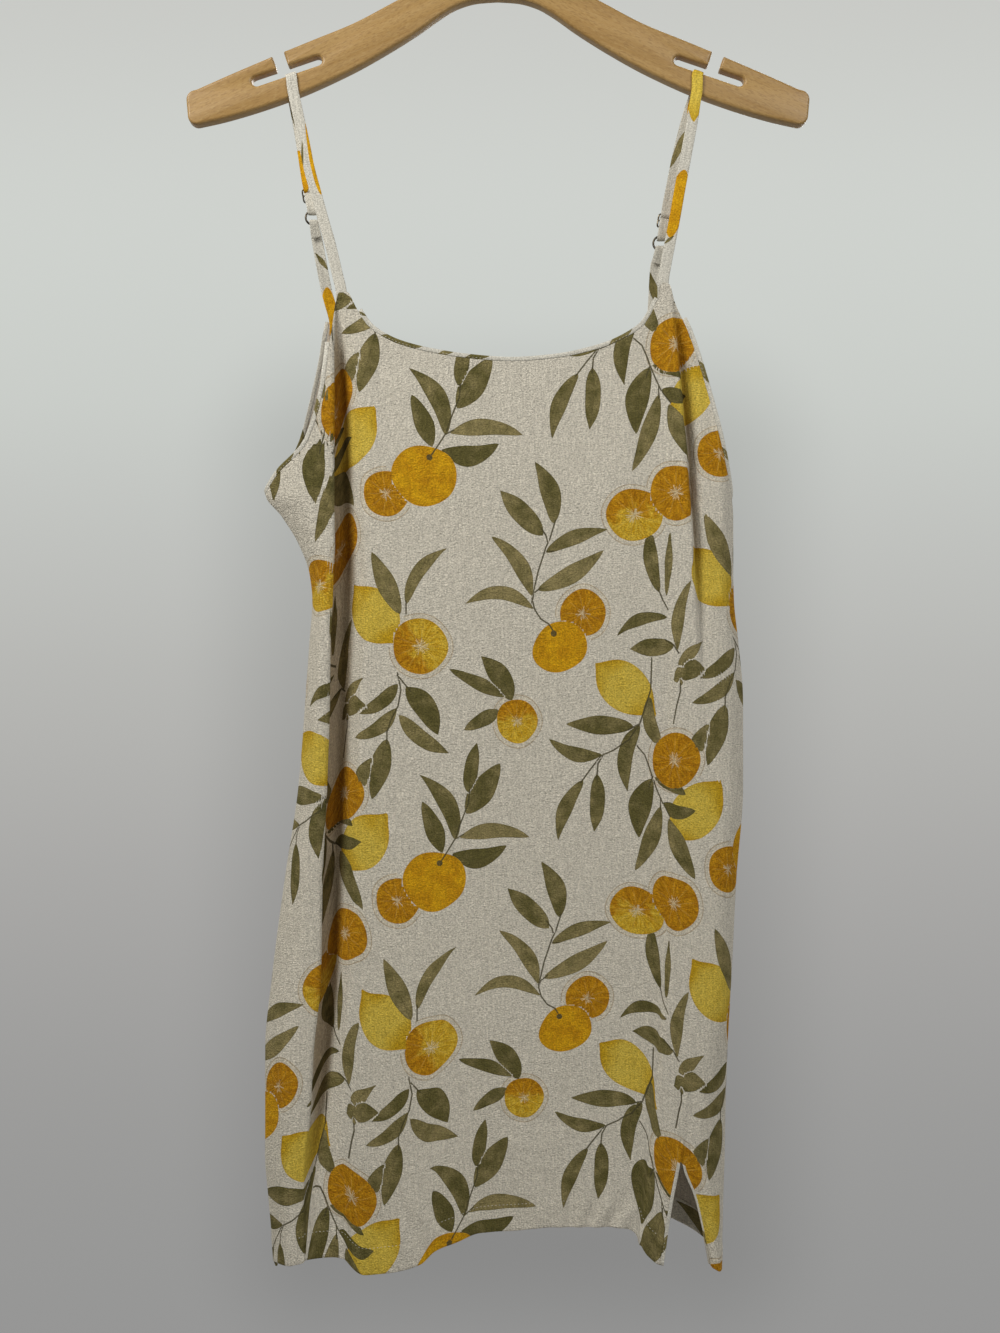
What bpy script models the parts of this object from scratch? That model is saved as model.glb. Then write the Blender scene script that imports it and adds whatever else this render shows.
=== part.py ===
"""Sleeveless mini dress hung by its adjustable straps on a notched wooden hanger.

Every size below is in millimetres and becomes metres in MM. The origin is the inner
top of the hanger's hook, +X is to the viewer's right, +Y goes away from the viewer and
+Z is up. The cloth is a wall laid over named sections: each section runs from the left
side seam across the panel to the right one, through the folds that the dress hangs in.
"""
import math

import bmesh
import bpy
import numpy as np

MM = 0.001
GAP = 0.3

CLOTH_WALL = 1.2
HEM_WALL = 2.0
HEM_HEIGHT = 20.0
SEAM_GAP = 0.2
BINDING_WIDTH = 2.8
BINDING_THICKNESS = 2.0
STRAP_WIDTH = 8.0
STRAP_PINCHED = 6.4
STRAP_THICKNESS = 1.2
STRAP_IN_SLIDER = 7.0
STRAP_SPARE = 0.2
FRONT_STRAP_FOOT_Y = -7.2
BACK_STRAP_FOOT_Y = 8.9
BACK_STRAP_UPPER_Y = 7.2

HANGER_THICKNESS = 12.0
HANGER_ROUNDING = 2.4
SLOT_CENTRE = (153.0, -162.0)
SLOT_TILT = math.radians(18.8)
SLOT_HALF_LENGTH = 23.4
SLOT_RADIUS = 3.5
MOUTH_INNER = 155.5
MOUTH_OUTER = 163.5
MOUTH_FOOT_INNER = -2.1
MOUTH_FOOT_OUTER = 6.5

HOOK_WIRE = 3.6
HOOK_INNER_RADIUS = 21.0
HOOK_DEPTH_IN_WOOD = 14.0

RING_RADIUS = 5.25
RING_WIRE = 1.5
SLIDER_WIDTH = 10.6
SLIDER_HEIGHT = 11.0
SLIDER_BAR = 1.2
RING_BELOW_SLIDER = 17.0

SLIT_TOP = -946.0
SLIT_ROW = 22

# Where the front panel stands at each height: the left outline, the crest of the left
# fold, the right side of its valley, the shallow pleat, the ridge and crease of the
# right fold (at the bottom the two edges of the slit), the right outline, how far the
# panel stands forward, and how deep each fold is.
FRONT_COLUMNS = (
    "z", "left", "crest", "valley", "pleat", "ridge", "crease", "right",
    "forward", "left_fold", "pleat_step", "right_fold",
)
FRONT_STATIONS = (
    (-300, -168, -117.0, -109.0, 113, 122.0, 124.0, 169.0, 9.0, 0.3, 0.3, 0.5),
    (-329, -168, -118.0, -107.5, 115, 125.0, 127.0, 169.0, 10.0, 0.8, 0.4, 1.0),
    (-351, -168, -118.5, -106.0, 116, 127.0, 129.5, 169.0, 11.0, 4.0, 0.5, 4.0),
    (-380, -168, -118.0, -104.5, 118, 129.5, 132.0, 169.0, 13.0, 9.0, 0.5, 7.0),
    (-409, -168, -117.5, -102.0, 120, 132.0, 134.5, 169.0, 15.0, 11.0, 0.5, 9.0),
    (-444, -168, -117.5, -100.5, 122, 135.0, 137.5, 169.0, 17.0, 13.0, 0.5, 9.5),
    (-469, -168, -117.5, -99.5, 123, 136.0, 138.5, 169.0, 18.0, 14.0, 0.5, 9.5),
    (-485, -156, -117.5, -99.0, 123, 137.5, 140.0, 170.0, 18.5, 14.5, 0.5, 9.0),
    (-505, -144, -117.0, -98.0, 124, 139.0, 141.5, 170.0, 19.0, 15.0, 0.6, 8.5),
    (-527, -136, -118.0, -97.5, 124, 139.5, 142.0, 170.0, 19.5, 15.0, 0.8, 7.0),
    (-546, -134, -118.5, -98.0, 124, 141.0, 143.5, 170.5, 20.0, 15.0, 1.0, 5.0),
    (-575, -136, -120.0, -98.5, 124, 142.0, 145.0, 173.5, 20.5, 15.0, 1.5, 3.0),
    (-618, -139, -120.5, -101.0, 124, 143.5, 147.0, 177.0, 21.0, 15.0, 3.0, 1.0),
    (-680, -144, -122.5, -103.0, 123.5, 144.0, 148.0, 177.0, 22.0, 15.0, 4.0, 0.5),
    (-748, -154, -125.5, -105.5, 123, 144.0, 148.0, 172.0, 23.0, 15.0, 4.0, 0.5),
    (-817, -163, -126.5, -108.5, 120.5, 142.5, 146.5, 168.5, 24.0, 13.5, 3.5, 0.5),
    (-870, -168, -131.5, -112.0, 116, 138.0, 142.0, 165.5, 25.0, 12.0, 3.0, 0.5),
    (-916, -168, -134.0, -115.0, 112, 133.0, 137.0, 164.0, 25.5, 8.0, 2.5, 0.8),
    (-946, -168, -137.5, -116.5, 109, 128.5, 132.5, 163.5, 26.0, 5.0, 2.0, 1.0),
    (-973, -166, -139.0, -116.5, 106, 124.0, 140.5, 162.5, 26.0, 3.0, 1.2, 4.0),
    (-995, -164, -139.0, -116.0, 103, 120.0, 146.0, 162.0, 26.0, 2.0, 0.8, 6.0),
    (-1032, -161, -139.0, -115.0, 99, 114.0, 153.0, 161.0, 26.0, 1.0, 0.3, 9.0),
)

# How many faces the front panel has between each pair of its section's lines.
FRONT_STEPS = (1, 4, 4, 2, 2, 2, 2, 5, 5, 5, 1, 2, 1, 2, 2, 3, 1)

# The cut top edge of the front panel, by its place across (0 is the left side seam, 3
# the crest of the left fold, 7 the start of the flat front, 10 the pleat, 12 the ridge
# of the right fold and 17 the right side seam): armhole, strap point, neckline, strap
# point and armhole. Each entry is a place across and its height.
FRONT_TOP = (
    (0.0, -470.0), (1.0, -469.0), (1.5, -451.0), (2.0, -430.0), (2.4, -398.0),
    (2.75, -352.0), (3.0, -339.0), (4.0, -330.0), (5.0, -323.5), (6.0, -323.5),
    (7.0, -337.0), (7.25, -351.0), (7.5, -361.5), (7.75, -367.5), (8.0, -371.0),
    (8.5, -373.8), (9.0, -371.0), (9.33, -364.5), (9.67, -350.5), (10.0, -331.0),
    (11.0, -329.0), (11.5, -316.5), (12.0, -318.0), (13.0, -329.0), (13.5, -343.0),
    (14.0, -366.0), (15.0, -421.0), (16.0, -472.0), (17.0, -474.0),
)

# The folded bottom edge of the front panel: place across and height.
FRONT_HEM = (
    (0.0, -1029.0), (1.0, -1023.0), (2.0, -1020.0), (3.0, -1018.0), (5.0, -1015.5),
    (6.0, -1014.0), (7.0, -1015.0), (7.33, -1026.5), (7.57, -1024.7), (7.8, -1019.0),
    (7.93, -1009.5), (8.16, -1002.6), (8.38, -996.5), (8.8, -994.6), (9.1, -992.6),
    (9.48, -992.6), (9.7, -993.5), (9.84, -997.0), (10.0, -1004.5), (11.0, -1006.0),
    (11.5, -1013.0), (12.0, -1019.5), (13.0, -1021.0), (15.0, -1026.0), (17.0, -1031.0),
)

# The back panel: its two outlines follow the front's, its strap points, how far it
# stands back, and how deep its two soft hanging folds are.
BACK_COLUMNS = ("z", "strap_left", "strap_right", "backward", "soft_fold")
BACK_STATIONS = (
    (-300, -119, 112, 9.0, 0.0),
    (-345, -118, 112, 11.0, 0.5),
    (-410, -116, 112, 14.0, 2.0),
    (-470, -112, 110, 17.0, 3.5),
    (-560, -104, 108, 20.0, 5.0),
    (-700, -104, 108, 22.0, 6.0),
    (-850, -106, 108, 24.0, 6.5),
    (-1032, -108, 106, 26.0, 7.0),
)
BACK_STEPS = (1, 4, 3, 1, 3, 2, 2, 3, 1, 3, 4, 1)

# The back panel's top and bottom edges: place across (0 and 12 are the side seams, 3 to
# 4 and 8 to 9 its strap points) and height.
BACK_TOP = (
    (0.0, -470.0), (1.0, -469.0), (2.0, -431.0), (2.6, -377.0), (3.0, -341.0),
    (4.0, -340.0), (5.0, -381.0), (6.0, -394.0), (7.0, -382.0), (8.0, -346.0),
    (9.0, -347.0), (9.4, -382.0), (10.0, -435.0), (11.0, -473.0), (12.0, -474.0),
)
BACK_HEM = (
    (0.0, -1029.0), (1.0, -1024.0), (2.0, -1012.0), (3.5, -1000.0), (6.0, -994.0),
    (8.5, -994.0), (10.0, -1005.0), (11.0, -1022.0), (12.0, -1031.0),
)

# Hanger outline, right half, from the middle outwards: the upper edge and the lower
# edge, each as distance from the middle and height.
HANGER_UPPER = (
    (0.0, -82.5), (18.0, -84.5), (37.0, -91.0), (55.0, -101.0), (75.0, -111.5),
    (105.0, -127.3), (135.0, -139.6), (165.0, -152.0), (195.0, -164.8), (219.0, -175.5),
)
HANGER_LOWER = (
    (218.0, -201.0), (200.0, -197.0), (151.0, -181.5), (108.0, -162.5), (80.0, -147.0),
    (55.5, -131.5), (40.0, -120.5), (28.0, -113.8), (14.0, -110.0), (0.0, -109.0),
)
HANGER_END_RADIUS = 7.0

# Each strap, as places x and z: its front strand from the front strap point up to the
# slot, its back strand down to the slider, and its end on the back panel. LEDGE_OUT is
# how far out from the middle it lies in the slot.
FRONT_STRAND = {
    "left": (
        (-113.4, -331.0), (-113.6, -321.0), (-116.4, -309.0), (-121.1, -289.0),
        (-126.5, -270.0), (-132.3, -249.0), (-136.6, -233.0), (-140.4, -214.0),
        (-145.3, -191.0), (-148.3, -177.0),
    ),
    "right": (
        (119.4, -328.0), (119.7, -314.0), (122.2, -299.0), (126.5, -276.6),
        (129.0, -263.0), (131.6, -248.0), (136.4, -222.0), (140.6, -199.0),
        (142.8, -184.0), (144.0, -176.5),
    ),
}
LEDGE_OUT = {"left": 151.4, "right": 146.2}
BACK_STRAND = {
    "left": ((-149.6, -178.0), (-147.2, -191.0), (-143.6, -212.0), (-140.6, -232.0)),
    "right": ((143.6, -176.0), (139.4, -189.0), (132.8, -214.0), (127.2, -241.0)),
}
SLIDER_AT = {"left": (-138.0, -249.0), "right": (121.7, -268.0)}
STRAND_LEAN = {"left": math.radians(9.8), "right": math.radians(-10.4)}
BACK_STRAP_END = {"left": (-119.4, -351.0), "right": (112.2, -357.0)}


def clear_scene():
    """Takes away whatever objects the scene starts with."""
    for item in list(bpy.data.objects):
        bpy.data.objects.remove(item, do_unlink=True)


def make_collection(name):
    """A collection of its own under the scene."""
    collection = bpy.data.collections.new(name)
    bpy.context.scene.collection.children.link(collection)
    return collection


def make_material(name, colour, roughness, metallic=0.0):
    """A Principled material with the piece's own colour."""
    material = bpy.data.materials.new(name)
    material.use_nodes = True
    shader = material.node_tree.nodes["Principled BSDF"]
    shader.inputs["Base Color"].default_value = (*colour, 1.0)
    shader.inputs["Roughness"].default_value = roughness
    shader.inputs["Metallic"].default_value = metallic
    return material


def smooth_line(knots, values, at):
    """A curve through each value that never swings past it (monotone cubic)."""
    knots = np.asarray(knots, float)
    values = np.asarray(values, float)
    step = np.diff(knots)
    slope = np.diff(values) / step
    lean = np.zeros_like(values)
    before, after = slope[:-1], slope[1:]
    same_way = before * after > 0
    weight_a = 2 * step[1:] + step[:-1]
    weight_b = step[1:] + 2 * step[:-1]
    safe_a = np.where(same_way, before, 1.0)
    safe_b = np.where(same_way, after, 1.0)
    mean = (weight_a + weight_b) / (weight_a / safe_a + weight_b / safe_b)
    lean[1:-1] = np.where(same_way, mean, 0.0)
    lean[0], lean[-1] = slope[0], slope[-1]
    at = np.clip(np.asarray(at, float), knots[0], knots[-1])
    cell = np.clip(np.searchsorted(knots, at, side="right") - 1, 0, len(step) - 1)
    width = step[cell]
    t = (at - knots[cell]) / width
    start = (1 + 2 * t) * (1 - t) ** 2 * values[cell] + t * (1 - t) ** 2 * width * lean[cell]
    end = t * t * (3 - 2 * t) * values[cell + 1] + t * t * (t - 1) * width * lean[cell + 1]
    return start + end


def stations_at(columns, stations, z):
    """The value of every named column at the height z."""
    table = np.array(stations, float)[::-1]
    return {
        name: float(smooth_line(table[:, 0], table[:, place], z))
        for place, name in enumerate(columns)
    }


def edge_at(table, across):
    """Height of a panel's edge at a place across it."""
    rows = np.array(table, float)
    return float(smooth_line(rows[:, 0], rows[:, 1], across))


def front_section(z):
    """The named lines of the front panel at one height, as (x, y) from seam to seam."""
    s = stations_at(FRONT_COLUMNS, FRONT_STATIONS, z)
    face = -s["forward"]
    side = s["crest"] - s["left"]
    lift = min(3.0, 0.3 * s["left_fold"])
    overlap = 0.3 * s["left_fold"] - 1.5
    start = s["valley"] + 6.0
    width = s["pleat"] - 1.0 - start
    flap = s["right"] - s["crease"]
    ridge_lift = min(1.5, 0.25 * s["right_fold"])
    settle = 0.3 * s["left_fold"]
    return (
        (s["left"], -SEAM_GAP),
        (s["left"], 0.3 * face),
        (s["crest"] - 0.35 * side, face - lift),
        (s["crest"], face - lift + 0.12 * s["left_fold"]),
        (s["crest"] - overlap, face + 0.5 * s["left_fold"]),
        (s["crest"] + 0.3 * (s["valley"] - s["crest"]), face + s["left_fold"]),
        (s["valley"] - 1.0, face + settle),
        (start, face),
        (start + width / 3, face - 0.5),
        (start + 2 * width / 3, face + 0.6),
        (s["pleat"] - 1.0, face + s["pleat_step"]),
        (s["pleat"] + 0.6, face - 0.4),
        (s["ridge"], face - ridge_lift),
        (s["crease"], face + s["right_fold"]),
        (s["crease"] + 0.3 * flap, 0.94 * face + 0.3 * s["right_fold"]),
        (s["crease"] + 0.66 * flap, 0.78 * face),
        (s["right"], 0.3 * face),
        (s["right"], -SEAM_GAP),
    )


def back_section(z):
    """The named lines of the back panel at one height, as (x, y) from seam to seam."""
    outline = stations_at(FRONT_COLUMNS, FRONT_STATIONS, z)
    s = stations_at(BACK_COLUMNS, BACK_STATIONS, z)
    left, right = outline["left"], outline["right"]
    face = s["backward"]
    soft = s["soft_fold"]
    inner_left, inner_right = s["strap_left"] + 5, s["strap_right"] - 5
    width = inner_right - inner_left
    side_left = s["strap_left"] - 5 - left
    side_right = right - s["strap_right"] - 5
    return (
        (left, SEAM_GAP),
        (left, 0.3 * face),
        (left + 0.5 * side_left, 0.85 * face),
        (s["strap_left"] - 5, face + 0.3 * soft),
        (s["strap_left"] + 5, face - 0.3 * soft),
        (inner_left + 0.25 * width, face + 0.5 * soft),
        (inner_left + 0.5 * width, face - 0.4 * soft),
        (inner_left + 0.75 * width, face + 0.5 * soft),
        (s["strap_right"] - 5, face - 0.2 * soft),
        (s["strap_right"] + 5, face + 0.3 * soft),
        (right - 0.5 * side_right, 0.85 * face),
        (right, 0.3 * face),
        (right, SEAM_GAP),
    )


def places_across(steps):
    """The grid's places across a panel, evenly spaced between its named lines."""
    places = [0.0]
    for line, count in enumerate(steps):
        places += [line + (k + 1) / count for k in range(count)]
    return np.array(places)


def panel_grid(section, steps, top, hem, row_shares):
    """Rows of points from the cut top edge down to the hem, in millimetres.

    Each column keeps its place across the cloth. Its rows share out the drop from the
    top edge to the hem line, and the last two make the turned-up hem.
    """
    places = places_across(steps)
    rows = []
    for share in row_shares:
        row = []
        for across in places:
            high = edge_at(top, across)
            low = edge_at(hem, across)
            hem_line = low + HEM_HEIGHT
            if share <= 1.0:
                z = high + (hem_line - high) * share
            else:
                z = hem_line + (low - hem_line) * (share - 1.0)
            lines = np.array(section(z))
            knots = np.arange(len(lines))
            x = smooth_line(knots, lines[:, 0], across)
            y = smooth_line(knots, lines[:, 1], across)
            row.append((float(x), float(y), z))
        rows.append(row)
    return places, np.array(rows)


def add_mesh_object(name, points, faces, material, collection):
    """A mesh object from points in millimetres."""
    mesh = bpy.data.meshes.new(name)
    mesh.from_pydata([tuple(MM * v for v in p) for p in points], [], faces)
    mesh.materials.append(material)
    mesh.shade_smooth()
    item = bpy.data.objects.new(name, mesh)
    collection.objects.link(item)
    return item


def add_panel(name, rows, keep_face, towards_viewer, material, collection):
    """A cloth wall on a grid of points, thicker over its turned-up hem."""
    row_count, column_count = rows.shape[:2]
    faces = []
    for r in range(row_count - 1):
        for c in range(column_count - 1):
            if not keep_face(r, c):
                continue
            a = r * column_count + c
            b = a + column_count
            quad = (a, b, b + 1, a + 1)
            faces.append(quad if towards_viewer else quad[::-1])
    item = add_mesh_object(name, rows.reshape(-1, 3), faces, material, collection)
    body = item.vertex_groups.new(name="body_and_hem")
    plain = CLOTH_WALL / HEM_WALL
    for index in range(row_count * column_count):
        in_hem = index // column_count >= row_count - 2
        body.add([index], 1.0 if in_hem else plain, "REPLACE")
    wall = item.modifiers.new("wall", "SOLIDIFY")
    wall.thickness = HEM_WALL * MM
    wall.offset = 0.0
    wall.vertex_group = body.name
    return item


def unit(vectors):
    """Vectors made one long."""
    return vectors / np.linalg.norm(vectors, axis=-1, keepdims=True)


def tube_of_rings(name, rings, material, collection):
    """A closed piece through rings of points, with a flat face on each end."""
    count, sides = len(rings), len(rings[0])
    faces = []
    for r in range(count - 1):
        for s in range(sides):
            a, b = r * sides + s, r * sides + (s + 1) % sides
            faces.append((a, b, b + sides, a + sides))
    faces.append(tuple(range(sides))[::-1])
    faces.append(tuple((count - 1) * sides + s for s in range(sides)))
    item = add_mesh_object(name, np.concatenate(rings), faces, material, collection)
    work = bmesh.new()
    work.from_mesh(item.data)
    bmesh.ops.recalc_face_normals(work, faces=work.faces)
    work.to_mesh(item.data)
    work.free()
    return item


def flat_ring(centre, across, through, width, thickness):
    """Eight points of a flat tube's section: a rectangle with its corners taken off."""
    w, t = width / 2, thickness / 2
    cut = 0.35 * thickness
    corners = (
        (w, t - cut), (w - cut, t), (cut - w, t), (-w, t - cut),
        (-w, cut - t), (cut - w, -t), (w - cut, -t), (w, cut - t),
    )
    return np.array([centre + a * across + b * through for a, b in corners])


def add_edge_binding(name, rows, first, last, seam_side, material, collection):
    """The narrow folded strip along a panel's cut edge, made from the edge's points.

    It stands just above the edge, in the plane of the cloth there, and is cut off flat
    at the side seam.
    """
    edge = rows[0, first:last + 1]
    below = rows[1, first:last + 1]
    along = unit(np.gradient(edge, axis=0))
    down = below - edge
    face = unit(np.cross(along, down))
    out = unit(np.cross(along, face))
    out *= np.sign(np.sum(out * -down, axis=1, keepdims=True))
    reach = GAP + 0.1 * CLOTH_WALL + BINDING_WIDTH / 2
    rings = []
    for k in range(len(edge)):
        ring = flat_ring(edge[k] + reach * out[k], out[k], face[k], BINDING_WIDTH, BINDING_THICKNESS)
        if seam_side < 0:
            ring[:, 1] = np.minimum(ring[:, 1], -SEAM_GAP)
        else:
            ring[:, 1] = np.maximum(ring[:, 1], SEAM_GAP)
        rings.append(ring)
    return tube_of_rings(name, rings, material, collection)


def route_points(controls, spacing):
    """Points on a smooth curve through the controls (Catmull-Rom), about evenly apart.

    Each control is x, y, z, the facing of the flat side (3 numbers) and the width.
    """
    controls = np.array(controls, float)
    ends = np.vstack([2 * controls[0] - controls[1], controls, 2 * controls[-1] - controls[-2]])
    points = []
    for k in range(1, len(ends) - 2):
        a, b, c, d = ends[k - 1:k + 3]
        count = max(1, round(np.linalg.norm(c[:3] - b[:3]) / spacing))
        for t in np.arange(count) / count:
            points.append(
                0.5 * (2 * b + (c - a) * t + (2 * a - 5 * b + 4 * c - d) * t ** 2
                       + (3 * b - a - 3 * c + d) * t ** 3)
            )
    points.append(controls[-1])
    return np.array(points)


def add_strap(name, controls, spacing, material, collection):
    """A flat bias tube along a route."""
    route = route_points(controls, spacing)
    centre, facing, width = route[:, :3], unit(route[:, 3:6]), route[:, 6]
    along = unit(np.gradient(centre, axis=0))
    across = unit(np.cross(along, facing))
    through = np.cross(across, along)
    rings = [
        flat_ring(centre[k], across[k], through[k], width[k], STRAP_THICKNESS)
        for k in range(len(route))
    ]
    return tube_of_rings(name, rings, material, collection)


def strand_frame(side):
    """Slider centre, the way down the back strand and the way across it, in X and Z."""
    lean = STRAND_LEAN[side]
    down = np.array([math.sin(lean), 0.0, -math.cos(lean)])
    across = np.array([math.cos(lean), 0.0, math.sin(lean)])
    x, z = SLIDER_AT[side]
    return np.array([x, 0.0, z]), down, across


def strap_y():
    """How far from the middle plane a strand lies against the hanger's face."""
    return HANGER_THICKNESS / 2 + GAP + STRAP_THICKNESS / 2


def ledge_controls(side):
    """The strap's way over the lower edge of the slot, from the front to the back."""
    mirror = -1.0 if side == "left" else 1.0
    along = np.array([mirror * math.cos(SLOT_TILT), 0.0, -math.sin(SLOT_TILT)])
    up = np.array([mirror * math.sin(SLOT_TILT), 0.0, math.cos(SLOT_TILT)])
    middle = np.array([mirror * SLOT_CENTRE[0], 0.0, SLOT_CENTRE[1]])
    shift = (LEDGE_OUT[side] - SLOT_CENTRE[0]) / math.cos(SLOT_TILT)
    ledge = middle + shift * along - SLOT_RADIUS * up
    lie = GAP + STRAP_THICKNESS / 2 + STRAP_SPARE
    bend = HANGER_ROUNDING + lie
    edge_y = HANGER_THICKNESS / 2 - HANGER_ROUNDING
    controls = []
    for degrees in (180, 135, 90, 45, 0):
        turn = math.radians(degrees)
        offset_y = math.copysign(edge_y, math.cos(turn)) if degrees != 90 else 0.0
        rise = bend * math.sin(turn) - HANGER_ROUNDING
        y = offset_y + bend * math.cos(turn)
        if degrees == 90:
            for y_flat in (-edge_y, 0.0, edge_y):
                controls.append((*(ledge + up * rise + (0, y_flat, 0)), *up, STRAP_WIDTH))
        else:
            facing = up * math.sin(turn) + np.array([0.0, math.cos(turn), 0.0])
            controls.append((*(ledge + up * rise + (0, y, 0)), *facing, STRAP_WIDTH))
    return controls


def slider_levels():
    """Depths of the strap's layers at the slider and at the ring."""
    weave = SLIDER_BAR / 2 + GAP + STRAP_THICKNESS / 2
    middle = strap_y()
    running_in = middle - weave
    end_layer = running_in - STRAP_THICKNESS - GAP
    ring_y = (running_in + end_layer) / 2
    wrap = RING_WIRE / 2 + GAP + STRAP_THICKNESS / 2 + STRAP_SPARE
    return middle, weave, running_in, end_layer, ring_y, wrap


def add_long_strap(side, material, collection):
    """The long strap: front strap point, over the slot, slider, ring, back to the slider."""
    y = strap_y()
    front, back = (0.0, -1.0, 0.0), (0.0, 1.0, 0.0)
    controls = [(x, FRONT_STRAP_FOOT_Y if k < 2 else -y, z, *front, STRAP_WIDTH)
                for k, (x, z) in enumerate(FRONT_STRAND[side])]
    controls += ledge_controls(side)
    controls += [(x, y, z, *back, STRAP_WIDTH) for x, z in BACK_STRAND[side]]
    start, down, _ = strand_frame(side)
    middle, weave, running_in, end_layer, ring_y, wrap = slider_levels()
    bar = SLIDER_HEIGHT / 2 - SLIDER_BAR / 2
    inner = bar - SLIDER_BAR / 2 - GAP
    over = SLIDER_BAR / 2 + GAP
    ring_top = RING_BELOW_SLIDER - RING_RADIUS
    turn = ring_top + 1.3 + wrap
    narrow = STRAP_PINCHED
    wide = STRAP_IN_SLIDER
    layers = (
        (-bar - 5.0, middle - 0.6, (0, 1, 0), 7.4), (-bar - 0.6, running_in, (0, 1, 0), wide),
        (-inner, running_in, (0, 1, 0), wide), (-over, middle + weave, (0, 1, 0), wide),
        (over, middle + weave, (0, 1, 0), wide), (inner, running_in, (0, 1, 0), wide),
        (bar + 0.6, running_in, (0, 1, 0), wide),
        (bar + 3.4, ring_y + wrap - 0.3, (0, 1, 0), narrow),
        (ring_top, ring_y + wrap, (0, 1, 0), narrow),
        (turn - 0.6, ring_y + 0.75 * wrap, (0, 0.7, -0.7), narrow),
        (turn, ring_y, (0, 0, -1), narrow),
        (turn - 0.6, ring_y - 0.75 * wrap, (0, -0.7, -0.7), narrow),
        (ring_top, ring_y - wrap, (0, -1, 0), narrow),
        (bar + 3.4, ring_y - wrap + 0.3, (0, -1, 0), narrow),
        (bar + 0.6, end_layer, (0, -1, 0), wide), (inner, end_layer, (0, -1, 0), wide),
        (0.6, running_in, (0, -1, 0), wide), (-1.6, running_in, (0, -1, 0), wide),
    )
    for drop, depth, facing, width in layers:
        point = start + drop * down + np.array([0.0, depth, 0.0])
        controls.append((*point, *facing, width))
    return add_strap("strap_" + side, controls, 9.0, material, collection)


def add_back_strap(side, material, collection):
    """The short strap from the back panel up through the ring and down to its stitching."""
    start, down, _ = strand_frame(side)
    _, _, _, _, ring_y, wrap = slider_levels()
    ring_low = RING_BELOW_SLIDER + RING_RADIUS
    turn = ring_low - 1.3 - wrap
    narrow = STRAP_PINCHED
    end_x, end_z = BACK_STRAP_END[side]
    foot = start + (ring_low + 14.0) * down
    middle_y = 0.5 * (BACK_STRAP_FOOT_Y + BACK_STRAP_UPPER_Y)
    controls = [
        (end_x, BACK_STRAP_FOOT_Y, end_z, 0, 1, 0, STRAP_WIDTH),
        (end_x - 0.05 * (end_x - foot[0]), BACK_STRAP_FOOT_Y, end_z + 12.0, 0, 1, 0, STRAP_WIDTH),
        (0.5 * (end_x + foot[0]), middle_y, 0.5 * (end_z + foot[2]), 0, 1, 0, STRAP_WIDTH),
        (*(foot + (0.0, BACK_STRAP_UPPER_Y, 0.0)), 0, 1, 0, STRAP_WIDTH),
    ]
    layers = (
        (ring_low + 6.0, ring_y + wrap + 0.3, (0, 1, 0), 7.2),
        (ring_low, ring_y + wrap, (0, 1, 0), narrow),
        (turn + 0.6, ring_y + 0.75 * wrap, (0, 0.7, 0.7), narrow),
        (turn, ring_y, (0, 0, 1), narrow),
        (turn + 0.6, ring_y - 0.75 * wrap, (0, -0.7, 0.7), narrow),
        (ring_low, ring_y - wrap, (0, -1, 0), narrow),
        (ring_low + 5.0, ring_y - wrap + 0.9, (0, -1, 0), 7.2),
        (ring_low + 10.0, ring_y - 0.1, (0, -1, 0), 7.6),
    )
    for drop, depth, facing, width in layers:
        point = start + drop * down + np.array([0.0, depth, 0.0])
        controls.append((*point, *facing, width))
    return add_strap("back_strap_" + side, controls, 9.0, material, collection)


def add_ring(side, material, collection):
    """The small wire ring that joins the long strap to the short one."""
    start, down, across = strand_frame(side)
    ring_y = slider_levels()[4]
    centre = start + RING_BELOW_SLIDER * down + np.array([0.0, ring_y, 0.0])
    bpy.ops.mesh.primitive_torus_add(
        major_radius=RING_RADIUS * MM, minor_radius=RING_WIRE / 2 * MM,
        major_segments=24, minor_segments=6,
        location=tuple(MM * centre), rotation=(math.pi / 2, 0, 0),
    )
    ring = bpy.context.object
    ring.name = ring.data.name = "ring_" + side
    ring.data.materials.append(material)
    for owner in list(ring.users_collection):
        owner.objects.unlink(ring)
    collection.objects.link(ring)
    return ring


def rectangle(width, height, corner, centre_z):
    """Corner points of a rectangle with cut corners, in the curve's own plane."""
    w, h = width / 2, height / 2
    return [
        (w, centre_z + h - corner), (w - corner, centre_z + h), (corner - w, centre_z + h),
        (-w, centre_z + h - corner), (-w, centre_z + corner - h), (corner - w, centre_z - h),
        (w - corner, centre_z - h), (w, centre_z + corner - h),
    ]


def flat_curve(name, outlines, thickness, material, collection):
    """A flat plate from closed outlines in millimetres, holes included."""
    curve = bpy.data.curves.new(name, "CURVE")
    curve.dimensions = "2D"
    curve.fill_mode = "BOTH"
    curve.extrude = thickness / 2 * MM
    for outline in outlines:
        spline = curve.splines.new("POLY")
        spline.points.add(len(outline) - 1)
        for point, (u, v) in zip(spline.points, outline):
            point.co = (u * MM, v * MM, 0.0, 1.0)
        spline.use_cyclic_u = True
    curve.materials.append(material)
    item = bpy.data.objects.new(name, curve)
    collection.objects.link(item)
    return item


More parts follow.
